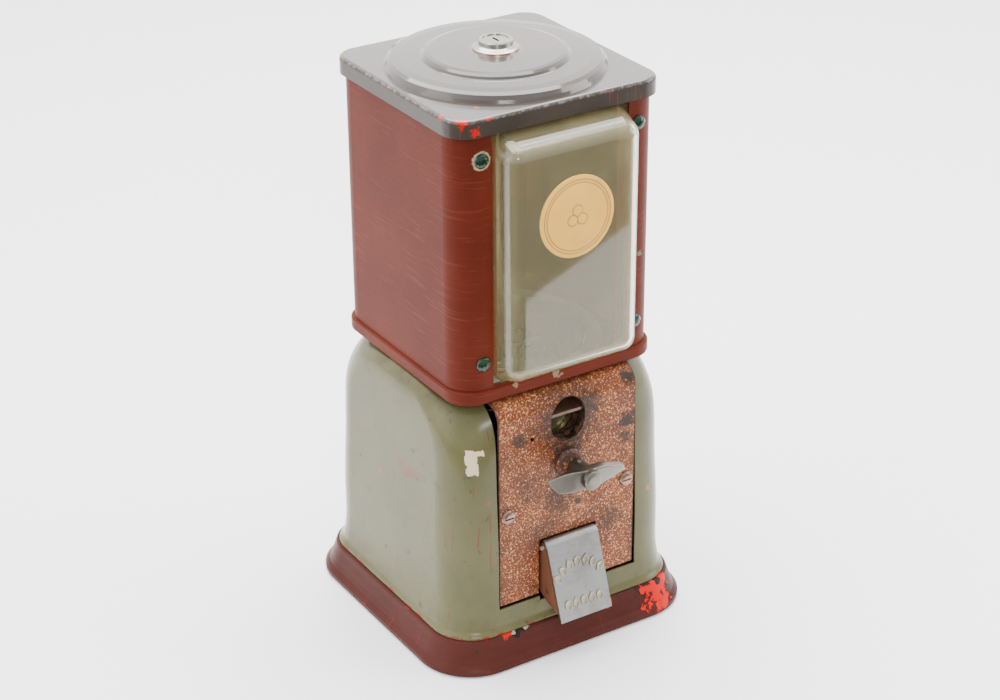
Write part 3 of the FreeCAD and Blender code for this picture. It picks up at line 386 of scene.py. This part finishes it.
lidPaint = {"paint": (0.056, 0.044, 0.036), "shade": (0.042, 0.033, 0.027),
            "under": (0.40, 0.010, 0.005), "grime": (0.03, 0.022, 0.018), "gloss": 0.17,
            "paleLip": (0.24, 0.22, 0.20), "rust": (0.20, 0.075, 0.035), "rustWidth": 3.4,
            "chip": (0.50, 0.006, 0.003),
            "chips": (((-62, -76, 372), 2.6), ((-70, -73, 379), 3.2), ((-76, -58, 379), 1.8),
                      ((-52, -76, 379), 1.8), ((76, -60, 375), 2.4), ((-50, -58, 381), 1.6))}


def makeLidPaint(settings):
    finish = Finish("lidEnamel", Coat_Roughness=0.08, Specular_IOR_Level=0.2)
    tree = finish.tree
    low, high = box("lid")
    across, along, up = tree.apart(finish.place)
    side = tree.math("MAXIMUM", tree.math("ABSOLUTE", across), tree.math("ABSOLUTE", along))
    corner = tree.step(side, high.x - 3.2 * mm, high.x - 1.2 * mm)
    topEdge = tree.math("MULTIPLY", corner, edgeNear(finish, low.z + 10.2 * mm, 1.5 * mm))
    rim = tree.math("MAXIMUM", topEdge, edgeNear(finish, low.z, 1.6 * mm))
    paint = finish.group("paint", Paint=settings["paint"], Shade=settings["shade"],
                         Under=settings["under"], Grime=settings["grime"], Chips=0.12,
                         Edge=tree.math("MULTIPLY", rim, 0.42), Specks=0.5, Scratches=0.5,
                         Gloss=settings["gloss"])
    tone = paint["Color"]
    # the lip of the skirt is paler in broken patches
    pale = tree.step(tree.noise(finish.place, 300, 6, 0.7), 0.48, 0.6)
    pale = tree.math("MULTIPLY", topEdge, pale)
    tone = tree.mix(tree.math("MULTIPLY", pale, 0.55), tone, settings["paleLip"])
    for centre, radius in settings["chips"]:
        mask = finish.spot(Vector(centre) * mm, radius * mm, 1.3, 420)
        tone = tree.mix(mask, tone, settings["chip"])
    radial = tree.add("VectorMath", {0: finish.place, 1: (1, 1, 0)}, operation="MULTIPLY")
    away = tree.add("VectorMath", {0: radial.outputs[0]}, operation="LENGTH").outputs["Value"]
    lockEdge = box("lock_body")[1].x
    rust = tree.math("SUBTRACT", 1.0, tree.step(away, lockEdge,
                                                lockEdge + settings["rustWidth"] * mm))
    rust = tree.math("MULTIPLY", rust, tree.step(tree.noise(finish.place, 240, 5, 0.7), 0.3, 0.55))
    tone = tree.mix(rust, tone, settings["rust"])
    flat = tree.step(up, low.z + 9.5 * mm, low.z + 11.5 * mm)
    finish.feed(Base_Color=tone, Roughness=paint["Roughness"], Coat_Weight=flat)
    finish.bump(paint["Height"], 0.22)
    return finish.material


footPaint = {"paint": (0.060, 0.015, 0.011), "shade": (0.043, 0.011, 0.008),
             "under": (0.22, 0.012, 0.006), "grime": (0.02, 0.014, 0.012), "gloss": 0.3,
             # black primer, the bright red patches on it, then chips at the ledge
             "patches": (((69, -92, 18), 15, 1.2, (0.012, 0.010, 0.009)),
                         ((68, -95, 14), 10, 1.5, (0.50, 0.006, 0.003)),
                         ((76, -90, 20), 6, 1.2, (0.50, 0.006, 0.003)),
                         ((-45, -90, 21.5), 4.6, 0.9, (0.012, 0.010, 0.009)),
                         ((-39, -90, 22), 3.2, 0.9, (0.012, 0.010, 0.009)),
                         ((-37, -90, 22.5), 2.2, 1.1, (0.30, 0.27, 0.22)),
                         ((-47, -90, 22.5), 2.4, 1.1, (0.30, 0.27, 0.22)),
                         ((-52, -90, 21), 3.5, 0.9, (0.42, 0.008, 0.004)),
                         ((28, -92, 19), 3.5, 0.8, (0.50, 0.006, 0.003)))}


def makeFootPaint(settings):
    finish = Finish("footEnamel", Specular_IOR_Level=0.07)
    tree = finish.tree
    low, high = box("foot_skirt")
    rim = tree.math("MAXIMUM", edgeNear(finish, low.z + 3.4 * mm, 2.6 * mm),
                    edgeNear(finish, high.z - 0.5 * mm, 2.2 * mm))
    paint = finish.group("paint", Paint=settings["paint"], Shade=settings["shade"],
                         Under=settings["under"], Grime=settings["grime"], Chips=0.2,
                         Edge=tree.math("MULTIPLY", rim, 0.5), Specks=0.6, Scratches=0.5,
                         Gloss=settings["gloss"])
    tone = paint["Color"]
    for centre, radius, ragged, colour in settings["patches"]:
        mask = finish.spot(Vector(centre) * mm, radius * mm, ragged, 170)
        tone = tree.mix(mask, tone, colour)
    finish.feed(Base_Color=tone, Roughness=paint["Roughness"])
    finish.bump(paint["Height"], 0.35)
    return finish.material


platePaint = {"base": (0.150, 0.037, 0.012), "light": (0.62, 0.27, 0.105),
              # the soot colour also serves as painted shade: the handle's shadow round the shaft
              # and the plate's side edges
              "dark": (0.055, 0.016, 0.007), "sootAndShade": (0.022, 0.015, 0.012),
              "spark": (0.80, 0.60, 0.42), "halfWidth": 52.5,
              # each: centre, radius, raggedness, strength; the spot centred on the shaft is the
              # handle's painted shadow
              "sootAndShadowSpots": (((46.5, -84, 150), 5.5, 0.7, 0.95), ((45.5, -84, 138), 4, 0.8, 0.8),
                        ((47.6, -81, 180), 5, 0.5, 0.95), ((-37, -84, 159), 5, 0.6, 0.8),
                        ((0, -84, 164), 21, 0.35, 0.85), ((-6, -84, 108), 11, 0.9, 0.6),
                        ((34, -84, 78), 8, 0.8, 0.6), ((0, -84, 135), 12.5, 0.5, 0.85),
                        ((20, -84, 172), 7, 0.9, 0.5), ((8.5, -84, 101), 2.6, 0.3, 0.9),
                        ((-30, -84, 120), 8, 0.9, 0.5), ((-20, -84, 86), 9, 0.9, 0.45))}


# copper hammer paint: small bright flecks on a red-brown ground, worn dark in places, with the
# handle's shadow painted round the shaft and painted shade along the side edges
def makePlatePaint(settings):
    finish = Finish("speckledCopper", Specular_IOR_Level=0.2)
    tree = finish.tree
    cloud = tree.step(tree.noise(finish.place, 38, 5, 0.65), 0.32, 0.68)
    tone = tree.mix(tree.math("MULTIPLY", cloud, 0.6), settings["base"], settings["dark"])
    fleckNoise = tree.noise(finish.place, 760, 3, 0.6, 0.5)
    more = tree.math("MULTIPLY", tree.math("SUBTRACT", 1.0, cloud), 0.05)
    fleck = tree.step(tree.math("ADD", fleckNoise, more), 0.56, 0.66)
    tone = tree.mix(tree.math("MULTIPLY", fleck, 0.85), tone, settings["light"])
    spark = tree.step(tree.noise(finish.place, 900, 2, 0.5), 0.66, 0.74)
    tone = tree.mix(spark, tone, settings["spark"])
    pit = tree.step(tree.noise(finish.place, 300, 4, 0.6), 0.60, 0.68)
    tone = tree.mix(tree.math("MULTIPLY", pit, 0.6), tone, settings["dark"])
    # dark patches, and the handle's painted shadow round the shaft
    for centre, radius, ragged, strength in settings["sootAndShadowSpots"]:
        mask = finish.spot(Vector(centre) * mm, radius * mm, ragged * 1.3, 260, 0.35)
        tone = tree.mix(tree.math("MULTIPLY", mask, strength), tone, settings["sootAndShade"])
    # painted shade along the plate's two side edges, where it sits in the body's opening
    for edge in (-1, 1):
        worn = tree.math("MULTIPLY", edgeNear(
            finish, edge * settings["halfWidth"] * mm, 1.4 * mm, 0), 0.75)
        tone = tree.mix(worn, tone, settings["sootAndShade"])
    rough = tree.math("ADD", 0.30, tree.math("MULTIPLY", fleckNoise, 0.25))
    finish.feed(Base_Color=tone, Roughness=rough,
                Metallic=tree.math("MULTIPLY", fleck, 0.35))
    finish.bump(tree.math("ADD", fleckNoise, tree.math("MULTIPLY", cloud, 0.5)), 0.35, 0.0003)
    return finish.material


metalFinishes = {
    # name: metal, stain, rust, stains, rusted, gloss
    "bareSteel": ((0.56, 0.55, 0.53), (0.25, 0.23, 0.2), (0.16, 0.07, 0.03), 0.4, 0.1, 0.24),
    "zincSteel": ((0.50, 0.50, 0.48), (0.3, 0.29, 0.27), (0.16, 0.07, 0.03), 0.5, 0.1, 0.34),
    "doorSteel": ((0.31, 0.31, 0.305), (0.17, 0.155, 0.13), (0.16, 0.08, 0.04), 0.6, 0.16, 0.3),
    "ornamentSteel": ((0.36, 0.33, 0.25), (0.18, 0.155, 0.10), (0.16, 0.08, 0.04), 0.6, 0.2, 0.3),
    "castZinc": ((0.175, 0.163, 0.14), (0.085, 0.072, 0.052), (0.10, 0.06, 0.03), 0.7, 0.1, 0.3),
    "castFrame": ((0.36, 0.35, 0.33), (0.2, 0.19, 0.17), (0.12, 0.06, 0.03), 0.5, 0.2, 0.5),
    "darkSteel": ((0.085, 0.065, 0.055), (0.035, 0.026, 0.02), (0.10, 0.04, 0.018),
                  0.7, 0.7, 0.35),
    "wheelBrass": ((0.40, 0.36, 0.22), (0.15, 0.13, 0.07), (0.12, 0.08, 0.04), 0.7, 0.35, 0.22),
    "rustySteel": ((0.12, 0.06, 0.035), (0.04, 0.02, 0.012), (0.125, 0.038, 0.012),
                   0.8, 0.95, 0.5),
    "nickel": ((0.42, 0.40, 0.36), (0.3, 0.27, 0.22), (0.16, 0.07, 0.03), 0.45, 0.12, 0.16),
    "wornScrew": ((0.27, 0.17, 0.13), (0.13, 0.07, 0.045), (0.09, 0.035, 0.018), 0.7, 0.35, 0.2),
}


def makeMetal(name):
    metal, stain, rust, stains, rusted, gloss = metalFinishes[name]
    finish = Finish(name)
    worn = finish.group("metal", Metal=metal, Stain=stain, Rust=rust, Stains=stains,
                        Rusted=rusted, Gloss=gloss)
    finish.feed(Base_Color=worn["Color"], Roughness=worn["Roughness"],
                Metallic=worn["Metallic"])
    finish.bump(worn["Height"], 0.2, 0.0003)
    return finish.material


def makeRivetPaint():
    finish = Finish("greenRivet", Coat_Weight=0.35, Coat_Roughness=0.05, Specular_IOR_Level=0.25)
    tree = finish.tree
    tone = tree.mix(tree.step(tree.noise(finish.place, 300, 4, 0.6), 0.4, 0.7),
                    (0.002, 0.026, 0.012), (0.003, 0.013, 0.007))
    finish.feed(Base_Color=tone, Roughness=tree.math("ADD", 0.12, tree.math(
        "MULTIPLY", tree.noise(finish.place, 200, 3), 0.15)))
    return finish.material


# yellowed clear plastic, milky at its bends, with scratches and specks of dirt
def makeWindowPlastic():
    finish = Finish("agedClearPlastic", IOR=1.44, Transmission_Weight=1.0,
                    Specular_IOR_Level=0.5)
    tree = finish.tree
    low = box("window_bubble")[0]
    along = tree.apart(finish.place)[1]
    deep = tree.step(along, low.y + 3 * mm, low.y + 19 * mm)
    tone = tree.mix(deep, (0.99, 0.975, 0.89), (0.80, 0.72, 0.42))
    smudge = tree.step(tree.noise(finish.place, 26, 6, 0.65), 0.5, 0.72)
    finish.feed(Base_Color=tone, Roughness=tree.math(
        "ADD", 0.03, tree.math("MULTIPLY", smudge, 0.10)))
    bends = edgeNear(finish, low.y + 4 * mm, 5 * mm, 1)
    haze = tree.add("BsdfDiffuse", {"Color": (0.42, 0.39, 0.22)})
    lines = tree.noise(tree.stretched(finish.place, (500, 30, 14), (0.1, 0.4, 0.3)), 1.0, 2, 0.5)
    scratch = tree.math("MULTIPLY", tree.step(lines, 0.73, 0.78),
                        tree.step(tree.noise(finish.place, 18, 3), 0.5, 0.62))
    specks = tree.step(tree.noise(finish.place, 210, 4, 0.6), 0.72, 0.76)
    worn = tree.math("MAXIMUM", tree.math("MULTIPLY", scratch, 0.6),
                     tree.math("MULTIPLY", specks, 0.6))
    milky = tree.math("MULTIPLY", smudge, 0.10)
    milky = tree.math("ADD", milky, tree.math("MULTIPLY", bends, 0.05))
    worn = tree.math("ADD", worn, tree.math("ADD", milky, 0.10), True)
    blend = tree.add("MixShader", {0: worn})
    tree.give(blend.inputs[1], finish.shader.outputs[0])
    tree.give(blend.inputs[2], haze.outputs[0])
    # light passes through to what lies behind
    clear = tree.add("BsdfTransparent", {"Color": (0.99, 0.98, 0.92)})
    lit = tree.add("MixShader", {0: tree.add("LightPath").outputs["Is Shadow Ray"]})
    tree.give(lit.inputs[1], blend.outputs[0])
    tree.give(lit.inputs[2], clear.outputs[0])
    output = finish.material.node_tree.nodes["Material Output"]
    tree.give(output.inputs[0], lit.outputs[0])
    finish.bump(tree.noise(finish.place, 35, 2), 0.05, 0.0004)
    return finish.material


discSizes = {
    "rim": 2.6, "set": 0.5, "bevel": 0.10,
    "grooves": ((0.4, -0.35), (1.0, 0.35), (0.4, -0.35), (0.6, 0.35)),  # width, depth
    "ballAngles": (90, 210, 330), "ball": 3.6, "spread": 4.1, "relief": 0.4,
    # the rings at the grooves and round the balls, in the dark colour, are painted shade
    "shadedGrooveRings": (24.2, 22.2), "shadeLineWidth": 0.62,
    "gilt": ((1.0, 0.55, 0.05), (1.0, 0.51, 0.04)), "dark": (0.30, 0.11, 0.018),
}


def ballShift(sizes, turn):
    angle = math.radians(turn)
    return Vector((math.cos(angle), 0, math.sin(angle))) * sizes["spread"] * mm


# 1 along a circle on the disc's face, for painted shade
def shadeCircle(finish, flat, centre, radius, line):
    tree = finish.tree
    away = tree.add("VectorMath", {0: flat, 1: (centre.x, 0, centre.z)},
                    operation="DISTANCE").outputs["Value"]
    off = tree.math("ABSOLUTE", tree.math("SUBTRACT", away, radius * mm))
    return tree.math("SUBTRACT", 1.0, tree.step(off, 0.0, line * mm))


# gilt paint with painted shade in the grooves and round the three balls
def makeDiscFinish(sizes):
    finish = Finish("goldenDisc", Specular_IOR_Level=0.2)
    tree = finish.tree
    low, high = box("display_disc")
    middle = Vector((0, low.y, (low.z + high.z) / 2))
    flat = tree.add("VectorMath", {0: finish.place, 1: (1, 0, 1)}, operation="MULTIPLY").outputs[0]
    circles = [(middle, radius) for radius in sizes["shadedGrooveRings"]]
    circles += [(middle + ballShift(sizes, turn), sizes["ball"]) for turn in sizes["ballAngles"]]
    lines = 0.0
    for centre, radius in circles:
        lines = tree.math("MAXIMUM", shadeCircle(finish, flat, centre, radius, sizes["shadeLineWidth"]),
                          lines)
    cloud = tree.noise(finish.place, 60, 4, 0.6)
    tone = tree.mix(tree.step(cloud, 0.35, 0.7), *sizes["gilt"])
    tone = tree.mix(tree.math("MULTIPLY", lines, 0.9), tone, sizes["dark"])
    finish.feed(Base_Color=tone, Roughness=tree.math("ADD", 0.35, tree.math(
        "MULTIPLY", cloud, 0.15)))
    finish.bump(tree.math("SUBTRACT", 1.0, lines), 0.4, 0.0003)
    return finish.material


# dirty brown above the coin ledge and dull brass below it
def makeGateFinish():
    finish = Finish("coinGate")
    tree = finish.tree
    up = tree.apart(finish.place)[2]
    above = tree.step(up, box("coin_gate")[0].z + 16 * mm, box("coin_gate")[0].z + 18 * mm)
    metal = tree.mix(above, (0.42, 0.39, 0.27), (0.10, 0.05, 0.03))
    stain = tree.mix(above, (0.13, 0.12, 0.06), (0.04, 0.02, 0.012))
    worn = finish.group("metal", Metal=metal, Stain=stain, Rust=(0.10, 0.05, 0.02), Stains=0.8,
                        Rusted=0.45, Gloss=0.22)
    finish.feed(Base_Color=worn["Color"], Roughness=worn["Roughness"], Metallic=tree.math(
        "SUBTRACT", 0.75, tree.math("MULTIPLY", above, 0.6)))
    finish.bump(worn["Height"], 0.4, 0.0004)
    return finish.material


def makeFloorFinish():
    finish = Finish("paleFloor", Roughness=0.6)
    tree = finish.tree
    soft = tree.noise(finish.place, 1.5, 2)
    finish.feed(Base_Color=tree.mix(tree.math("MULTIPLY", soft, 0.2), (0.95, 0.95, 0.955),
                                    (0.93, 0.93, 0.935)))
    return finish.material


print("making finishes")
finishes = {name: makeMetal(name) for name in metalFinishes}
finishes.update(
    body=makeBodyPaint(bodyPaint), hopper=makeHopperPaint(hopperPaint),
    lid=makeLidPaint(lidPaint), foot=makeFootPaint(footPaint), plate=makePlatePaint(platePaint),
    rivet=makeRivetPaint(), window=makeWindowPlastic(), disc=makeDiscFinish(discSizes),
    gate=makeGateFinish(),
    floor=makeFloorFinish())

slotFinish = {
    "foot_paint": "foot", "body_paint": "body", "hopper_paint": "hopper", "lid_paint": "lid",
    "speckled_copper": "plate", "dark_steel": "darkSteel", "zinc_steel": "zincSteel",
    "bright_steel": "bareSteel", "cast_zinc": "castZinc", "cast_frame": "castFrame",
    "worn_screw": "wornScrew", "wheel_casting": "castFrame", "rusty_steel": "rustySteel",
    "door_steel": "doorSteel", "aged_clear_plastic": "window", "green_rivet": "rivet",
    "gold_disc": "disc", "nickel": "nickel",
}


nodeFinish = {"coin_cup": "darkSteel", "coin_gate": "gate", "coin_wheel": "wheelBrass",
              "ball_funnel": "darkSteel"}


def dress(piece, finish):
    piece.data.materials.clear()
    piece.data.materials.append(finishes[finish])


def dressNodes():
    for part in frame["record"]["subparts"]:
        name = part["node"]
        dress(nodes[name], nodeFinish.get(name, slotFinish[part["material_slot"]]))


# goes into edit mode with the faces that wanted picks by their centre and normal
def editPiece(piece, wanted=None):
    bpy.ops.object.select_all(action="DESELECT")
    bpy.context.view_layer.objects.active = piece
    piece.select_set(True)
    bpy.ops.object.mode_set(mode="EDIT")
    bpy.ops.mesh.select_mode(type="FACE")
    bpy.ops.mesh.select_all(action="DESELECT" if wanted else "SELECT")
    if wanted:
        bpy.ops.object.mode_set(mode="OBJECT")
        for face in piece.data.polygons:
            face.select = wanted(face.center, face.normal)
        bpy.ops.object.mode_set(mode="EDIT")


def leavePiece():
    bpy.ops.object.mode_set(mode="OBJECT")


def addModifier(piece, kind, **settings):
    bpy.ops.object.select_all(action="DESELECT")
    bpy.context.view_layer.objects.active = piece
    piece.select_set(True)
    made = piece.modifiers.new(kind.lower(), kind)
    for name, setting in settings.items():
        setattr(made, name, setting)
    bpy.ops.object.modifier_apply(modifier=made.name)


# places the mesh and leaves the object at the origin
def moveInto(piece, matrix):
    bpy.ops.object.select_all(action="DESELECT")
    bpy.context.view_layer.objects.active = piece
    piece.select_set(True)
    piece.matrix_world = matrix
    bpy.ops.object.transform_apply(location=True, rotation=True, scale=True)


def copyInto(piece, matrix):
    made = piece.copy()
    made.data = piece.data.copy()
    bpy.context.scene.collection.objects.link(made)
    moveInto(made, matrix)
    return made


def joinPieces(parts, name):
    bpy.ops.object.select_all(action="DESELECT")
    for part in parts:
        part.select_set(True)
    bpy.context.view_layer.objects.active = parts[0]
    if len(parts) > 1:
        bpy.ops.object.join()
    parts[0].name = name
    return parts[0]


def finishPiece(piece, finish, body, angle=35):
    bpy.ops.object.select_all(action="DESELECT")
    bpy.context.view_layer.objects.active = piece
    piece.select_set(True)
    bpy.ops.object.shade_smooth_by_angle(angle=math.radians(angle))
    dress(piece, finish)
    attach(piece, body)


handleHeight = (box("wing_handle")[0].z + box("wing_handle")[1].z) / 2
handleSizes = {
    "hubRadius": 6.7, "hubFront": -114.0, "hubBack": -93.0, "core": 9.0, "middle": -107.0,
    "thick": 7.4, "tall": 13.4,
    # each step: along the wing, scale in thickness, scale in height, twist in degrees
    "steps": ((4.0, 0.95, 1.04, 6), (6.0, 0.86, 1.00, 12), (6.0, 0.84, 0.96, 12),
              (5.4, 0.86, 0.86, 6), (1.6, 0.70, 0.86, 0)),
    "slant": 26, "dome": ((0.86, 0.0), (0.74, 0.9)),  # shrink and rise of the hub's face
    "mark": {"radius": 0.75, "depth": 0.3, "across": -2.6, "out": 0.72, "down": 2.2,
             "rim": 0.25, "sunk": 0.12},
}


# two wings drawn out of a core block, each twisted a little more at every step
def makeHandleWings(sizes):
    axis = Vector((0, sizes["middle"] * mm, handleHeight))
    bpy.ops.mesh.primitive_cube_add(size=1)
    wings = bpy.context.object
    moveInto(wings, Matrix.Translation(axis) @ Matrix.Diagonal(
        (sizes["core"] * mm, sizes["thick"] * mm, sizes["tall"] * mm, 1)))
    for side in (-1, 1):
        editPiece(wings, lambda centre, normal, side=side: normal.x * side > 0.9)
        reach = sizes["core"] / 2
        for index, (along, thin, low, twist) in enumerate(sizes["steps"]):
            bpy.ops.mesh.extrude_region_move(
                TRANSFORM_OT_translate={"value": (side * along * mm, 0, 0)})
            reach += along
            centre = (side * reach * mm, axis.y, axis.z)
            bpy.ops.transform.resize(value=(1, thin, low), center_override=centre)
            bpy.ops.transform.rotate(value=math.radians(-side * twist), orient_axis="X",
                                     center_override=centre)
            if index == 2:
                bpy.ops.transform.rotate(value=math.radians(sizes["slant"]), orient_axis="Y",
                                         center_override=centre)
        leavePiece()
    addModifier(wings, "BEVEL", width=1.1 * mm, segments=2, limit_method="ANGLE",
                angle_limit=math.radians(40))
    addModifier(wings, "SUBSURF", levels=2)
    wings.name = "handleWings"
    finishPiece(wings, "castZinc", "drive", 60)
    return wings


def makeHandleHub(sizes):
    length = (sizes["hubBack"] - sizes["hubFront"]) * mm
    bpy.ops.mesh.primitive_cylinder_add(vertices=64, radius=sizes["hubRadius"] * mm,
                                        depth=length, end_fill_type="NGON")
    hub = bpy.context.object
    centre = Vector((0, (sizes["hubBack"] + sizes["hubFront"]) / 2 * mm, handleHeight))
    moveInto(hub, Matrix.Translation(centre) @ Matrix.Rotation(math.radians(90), 4, "X"))
    editPiece(hub, lambda place, normal: normal.y < -0.9)
    for shrink, out in sizes["dome"]:
        bpy.ops.mesh.extrude_region_move(TRANSFORM_OT_translate={"value": (0, -out * mm, 0)})
        bpy.ops.transform.resize(value=(shrink, 1, shrink),
                                 center_override=(0, sizes["hubFront"] * mm, handleHeight))
    leavePiece()
    addModifier(hub, "BEVEL", width=0.8 * mm, segments=3, limit_method="ANGLE",
                angle_limit=math.radians(25))
    hub.name = "handleHub"
    finishPiece(hub, "castZinc", "drive", 50)
    return hub


# the small hole in the hub's face
def makePinMark(sizes):
    hole = sizes["mark"]
    bpy.ops.mesh.primitive_cylinder_add(vertices=24, radius=hole["radius"] * mm,
                                        depth=hole["depth"] * mm)
    mark = bpy.context.object
    place = Vector((hole["across"] * mm, (sizes["hubFront"] - hole["out"]) * mm,
                    handleHeight - hole["down"] * mm))
    moveInto(mark, Matrix.Translation(place) @ Matrix.Rotation(math.radians(90), 4, "X"))
    editPiece(mark, lambda centre, normal: normal.y < -0.9)
    bpy.ops.mesh.inset(thickness=hole["rim"] * mm)
    bpy.ops.mesh.extrude_region_move(
        TRANSFORM_OT_translate={"value": (0, hole["sunk"] * mm, 0)})
    leavePiece()
    mark.name = "handlePinMark"
    finishPiece(mark, "darkSteel", "drive")


doorSizes = {
    "hinge": (-85.8, 75.4), "slant": 19.5, "rise": 5.1, "relief": 0.7,
    "archRadius": 21.5, "archLow": 36.0, "archCount": 7, "archSpread": 50.0,
    "bandLow": 41.5, "bandCount": 5, "bandHalf": 12.4, "bevel": 0.14,
    # sides, width and height of each outline
    "motifs": {"archLozenge": (4, 5.8, 9.2), "archOval": (24, 5.0, 6.8),
               "bandOval": (24, 5.4, 7.0), "bandLozenge": (4, 6.0, 9.0)},
}


# a frame whose X runs across, Y up and Z out of the door, with its origin at the bend
def doorPlane(sizes):
    slant = math.radians(sizes["slant"])
    up = Vector((0, math.sin(slant), math.cos(slant)))
    out = Vector((0, -math.cos(slant), math.sin(slant)))
    turn = Matrix((Vector((1, 0, 0)), up, out)).transposed().to_4x4()
    hinge = Vector((0, sizes["hinge"][0] * mm, sizes["hinge"][1] * mm))
    return Matrix.Translation(hinge + out * sizes["rise"] * mm) @ turn


# one raised outline with a sunk centre
def makeMotif(sides, wide, tall, relief):
    bpy.ops.mesh.primitive_cylinder_add(vertices=sides, radius=0.5, depth=1)
    motif = bpy.context.object
    moveInto(motif, Matrix.Diagonal((wide * mm, tall * mm, 2 * relief * mm, 1)))
    editPiece(motif, lambda centre, normal: normal.z > 0.9)
    bpy.ops.mesh.inset(thickness=0.7 * mm)
    bpy.ops.mesh.extrude_region_move(
        TRANSFORM_OT_translate={"value": (0, 0, -0.7 * relief * mm)})
    leavePiece()
    return motif


def makeDoorOrnament(sizes):
    places = []
    for index in range(sizes["archCount"]):
        share = 2 * index / (sizes["archCount"] - 1) - 1
        angle = math.radians(share * sizes["archSpread"])
        place = (sizes["archRadius"] * math.sin(angle),
                 sizes["archRadius"] * math.cos(angle) - sizes["archLow"], 0)
        places.append((("archLozenge", "archOval")[index % 2], place, -angle))
    for index in range(sizes["bandCount"]):
        across = sizes["bandHalf"] * (2 * index / (sizes["bandCount"] - 1) - 1)
        places.append((("bandOval", "bandLozenge")[index % 2], (across, -sizes["bandLow"], 0), 0))
    kinds = {kind: makeMotif(*size, sizes["relief"]) for kind, size in sizes["motifs"].items()}
    motifs = [copyInto(kinds[kind], Matrix.Translation(Vector(place) * mm)
                       @ Matrix.Rotation(turn, 4, "Z")) for kind, place, turn in places]
    for motif in kinds.values():
        bpy.data.objects.remove(motif)
    ornament = joinPieces(motifs, "doorOrnament")
    moveInto(ornament, doorPlane(sizes))
    addModifier(ornament, "BEVEL", width=sizes["bevel"] * mm, segments=2, limit_method="ANGLE",
                angle_limit=math.radians(30))
    finishPiece(ornament, "ornamentSteel", "door")


# a gilt disc with two rings and three small balls in its middle
def makeDisplayDisc(sizes):
    low, high = box("display_disc")
    centre = (low + high) / 2
    radius = (high.x - low.x) / 2
    bpy.ops.mesh.primitive_cylinder_add(vertices=128, radius=radius, depth=high.y - low.y)
    disc = bpy.context.object
    centre.y += sizes["set"] * mm
    moveInto(disc, Matrix.Translation(centre) @ Matrix.Rotation(math.radians(90), 4, "X"))
    editPiece(disc, lambda place, normal: normal.y < -0.9)
    bpy.ops.mesh.inset(thickness=sizes["rim"] * mm)
    for width, depth in sizes["grooves"]:
        bpy.ops.mesh.extrude_region_move(TRANSFORM_OT_translate={"value": (0, -depth * mm, 0)})
        bpy.ops.mesh.inset(thickness=width * mm)
    leavePiece()
    addModifier(disc, "BEVEL", width=sizes["bevel"] * mm, segments=2, limit_method="ANGLE",
                angle_limit=math.radians(30))
    face = Vector((centre.x, low.y + sizes["set"] * mm, centre.z))
    bpy.ops.mesh.primitive_uv_sphere_add(segments=32, ring_count=16, radius=1)
    ball = bpy.context.object
    moveInto(ball, Matrix.Diagonal((sizes["ball"] * mm, sizes["relief"] * mm,
                                    sizes["ball"] * mm, 1)))
    parts = [disc] + [copyInto(ball, Matrix.Translation(face + ballShift(sizes, turn)))
                      for turn in sizes["ballAngles"]]
    bpy.data.objects.remove(ball)
    disc = joinPieces(parts, "displayDisc")
    finishPiece(disc, "disc", "housing", 40)
    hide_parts("display_disc")


floorSettings = {"front": ((0.256, -0.548), (0.443, -0.642)), "half": 3.2, "back": 3.0,
                 "drop": 0.0004}


# a pale table, cut off along the front edge that the window's lower part mirrors
def makeFloor(settings):
    (x0, y0), (x1, y1) = settings["front"]
    half, back, drop = settings["half"], settings["back"], settings["drop"]
    bpy.ops.mesh.primitive_plane_add(size=2)
    floor = bpy.context.object
    moveInto(floor, Matrix.Translation((0, 0, -drop)) @ Matrix.Diagonal((half, back, 1, 1)))
    editPiece(floor)
    bpy.ops.mesh.bisect(plane_co=(x0, y0, -drop), plane_no=(y0 - y1, x1 - x0, 0),
                        clear_inner=True)
    leavePiece()
    floor.name = "floor"
    dress(floor, "floor")


lightSettings = [
    # name, place, aims at, width, height, power
    ("overhead", (0.2, 0.5, 1.9), (0, 0, 0.2), 1.8, 1.6, 92),
    ("leftBox", (-1.9, 0.1, 1.0), (0, 0, 0.2), 1.2, 1.6, 10),
    ("rightBox", (1.6, -0.9, 1.0), (0, 0, 0.2), 1.0, 1.2, 24),
    ("frontFill", (-0.9, -2.2, 1.6), (0, 0, 0.15), 0.6, 0.45, 27),
]
skySettings = {"back": (3.1, 3.1, 3.13), "front": (1.15, 1.15, 1.17), "below": (0.24, 0.23, 0.22)}


def makeLights(settings):
    for name, place, target, width, height, power in settings:
        data = bpy.data.lights.new(name, "AREA")
        data.shape = "RECTANGLE"
        data.size, data.size_y, data.energy = width, height, power
        light = bpy.data.objects.new(name, data)
        bpy.context.scene.collection.objects.link(light)
        light.location = place
        aim = Vector(target) - Vector(place)
        light.rotation_euler = aim.to_track_quat("-Z", "Y").to_euler()


# a white backdrop behind, a greyer room in front and a dark room below the table
def makeSky(settings):
    world = bpy.data.worlds.new("studio")
    world.use_nodes = True
    tree = Tree(world.node_tree)
    along, up = tree.apart(tree.add("TexCoord").outputs["Generated"])[1:]
    sky = tree.mix(tree.step(along, -0.75, 0.35), settings["front"], settings["back"])
    sky = tree.mix(tree.step(up, -0.10, 0.04), settings["below"], sky)
    background = world.node_tree.nodes["Background"]
    tree.give(background.inputs[0], sky)
    background.inputs[1].default_value = 1.0
    bpy.context.scene.world = world


makeCamera(cameraSettings)
makeFloor(floorSettings)
makeLights(lightSettings)
makeSky(skySettings)
dressNodes()
print("studio is ready")
wings = makeHandleWings(handleSizes)
hub = makeHandleHub(handleSizes)
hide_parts("wing_handle")
makePinMark(handleSizes)
print("handle is modelled")
makeDoorOrnament(doorSizes)
makeDisplayDisc(discSizes)
print("door and disc are modelled")
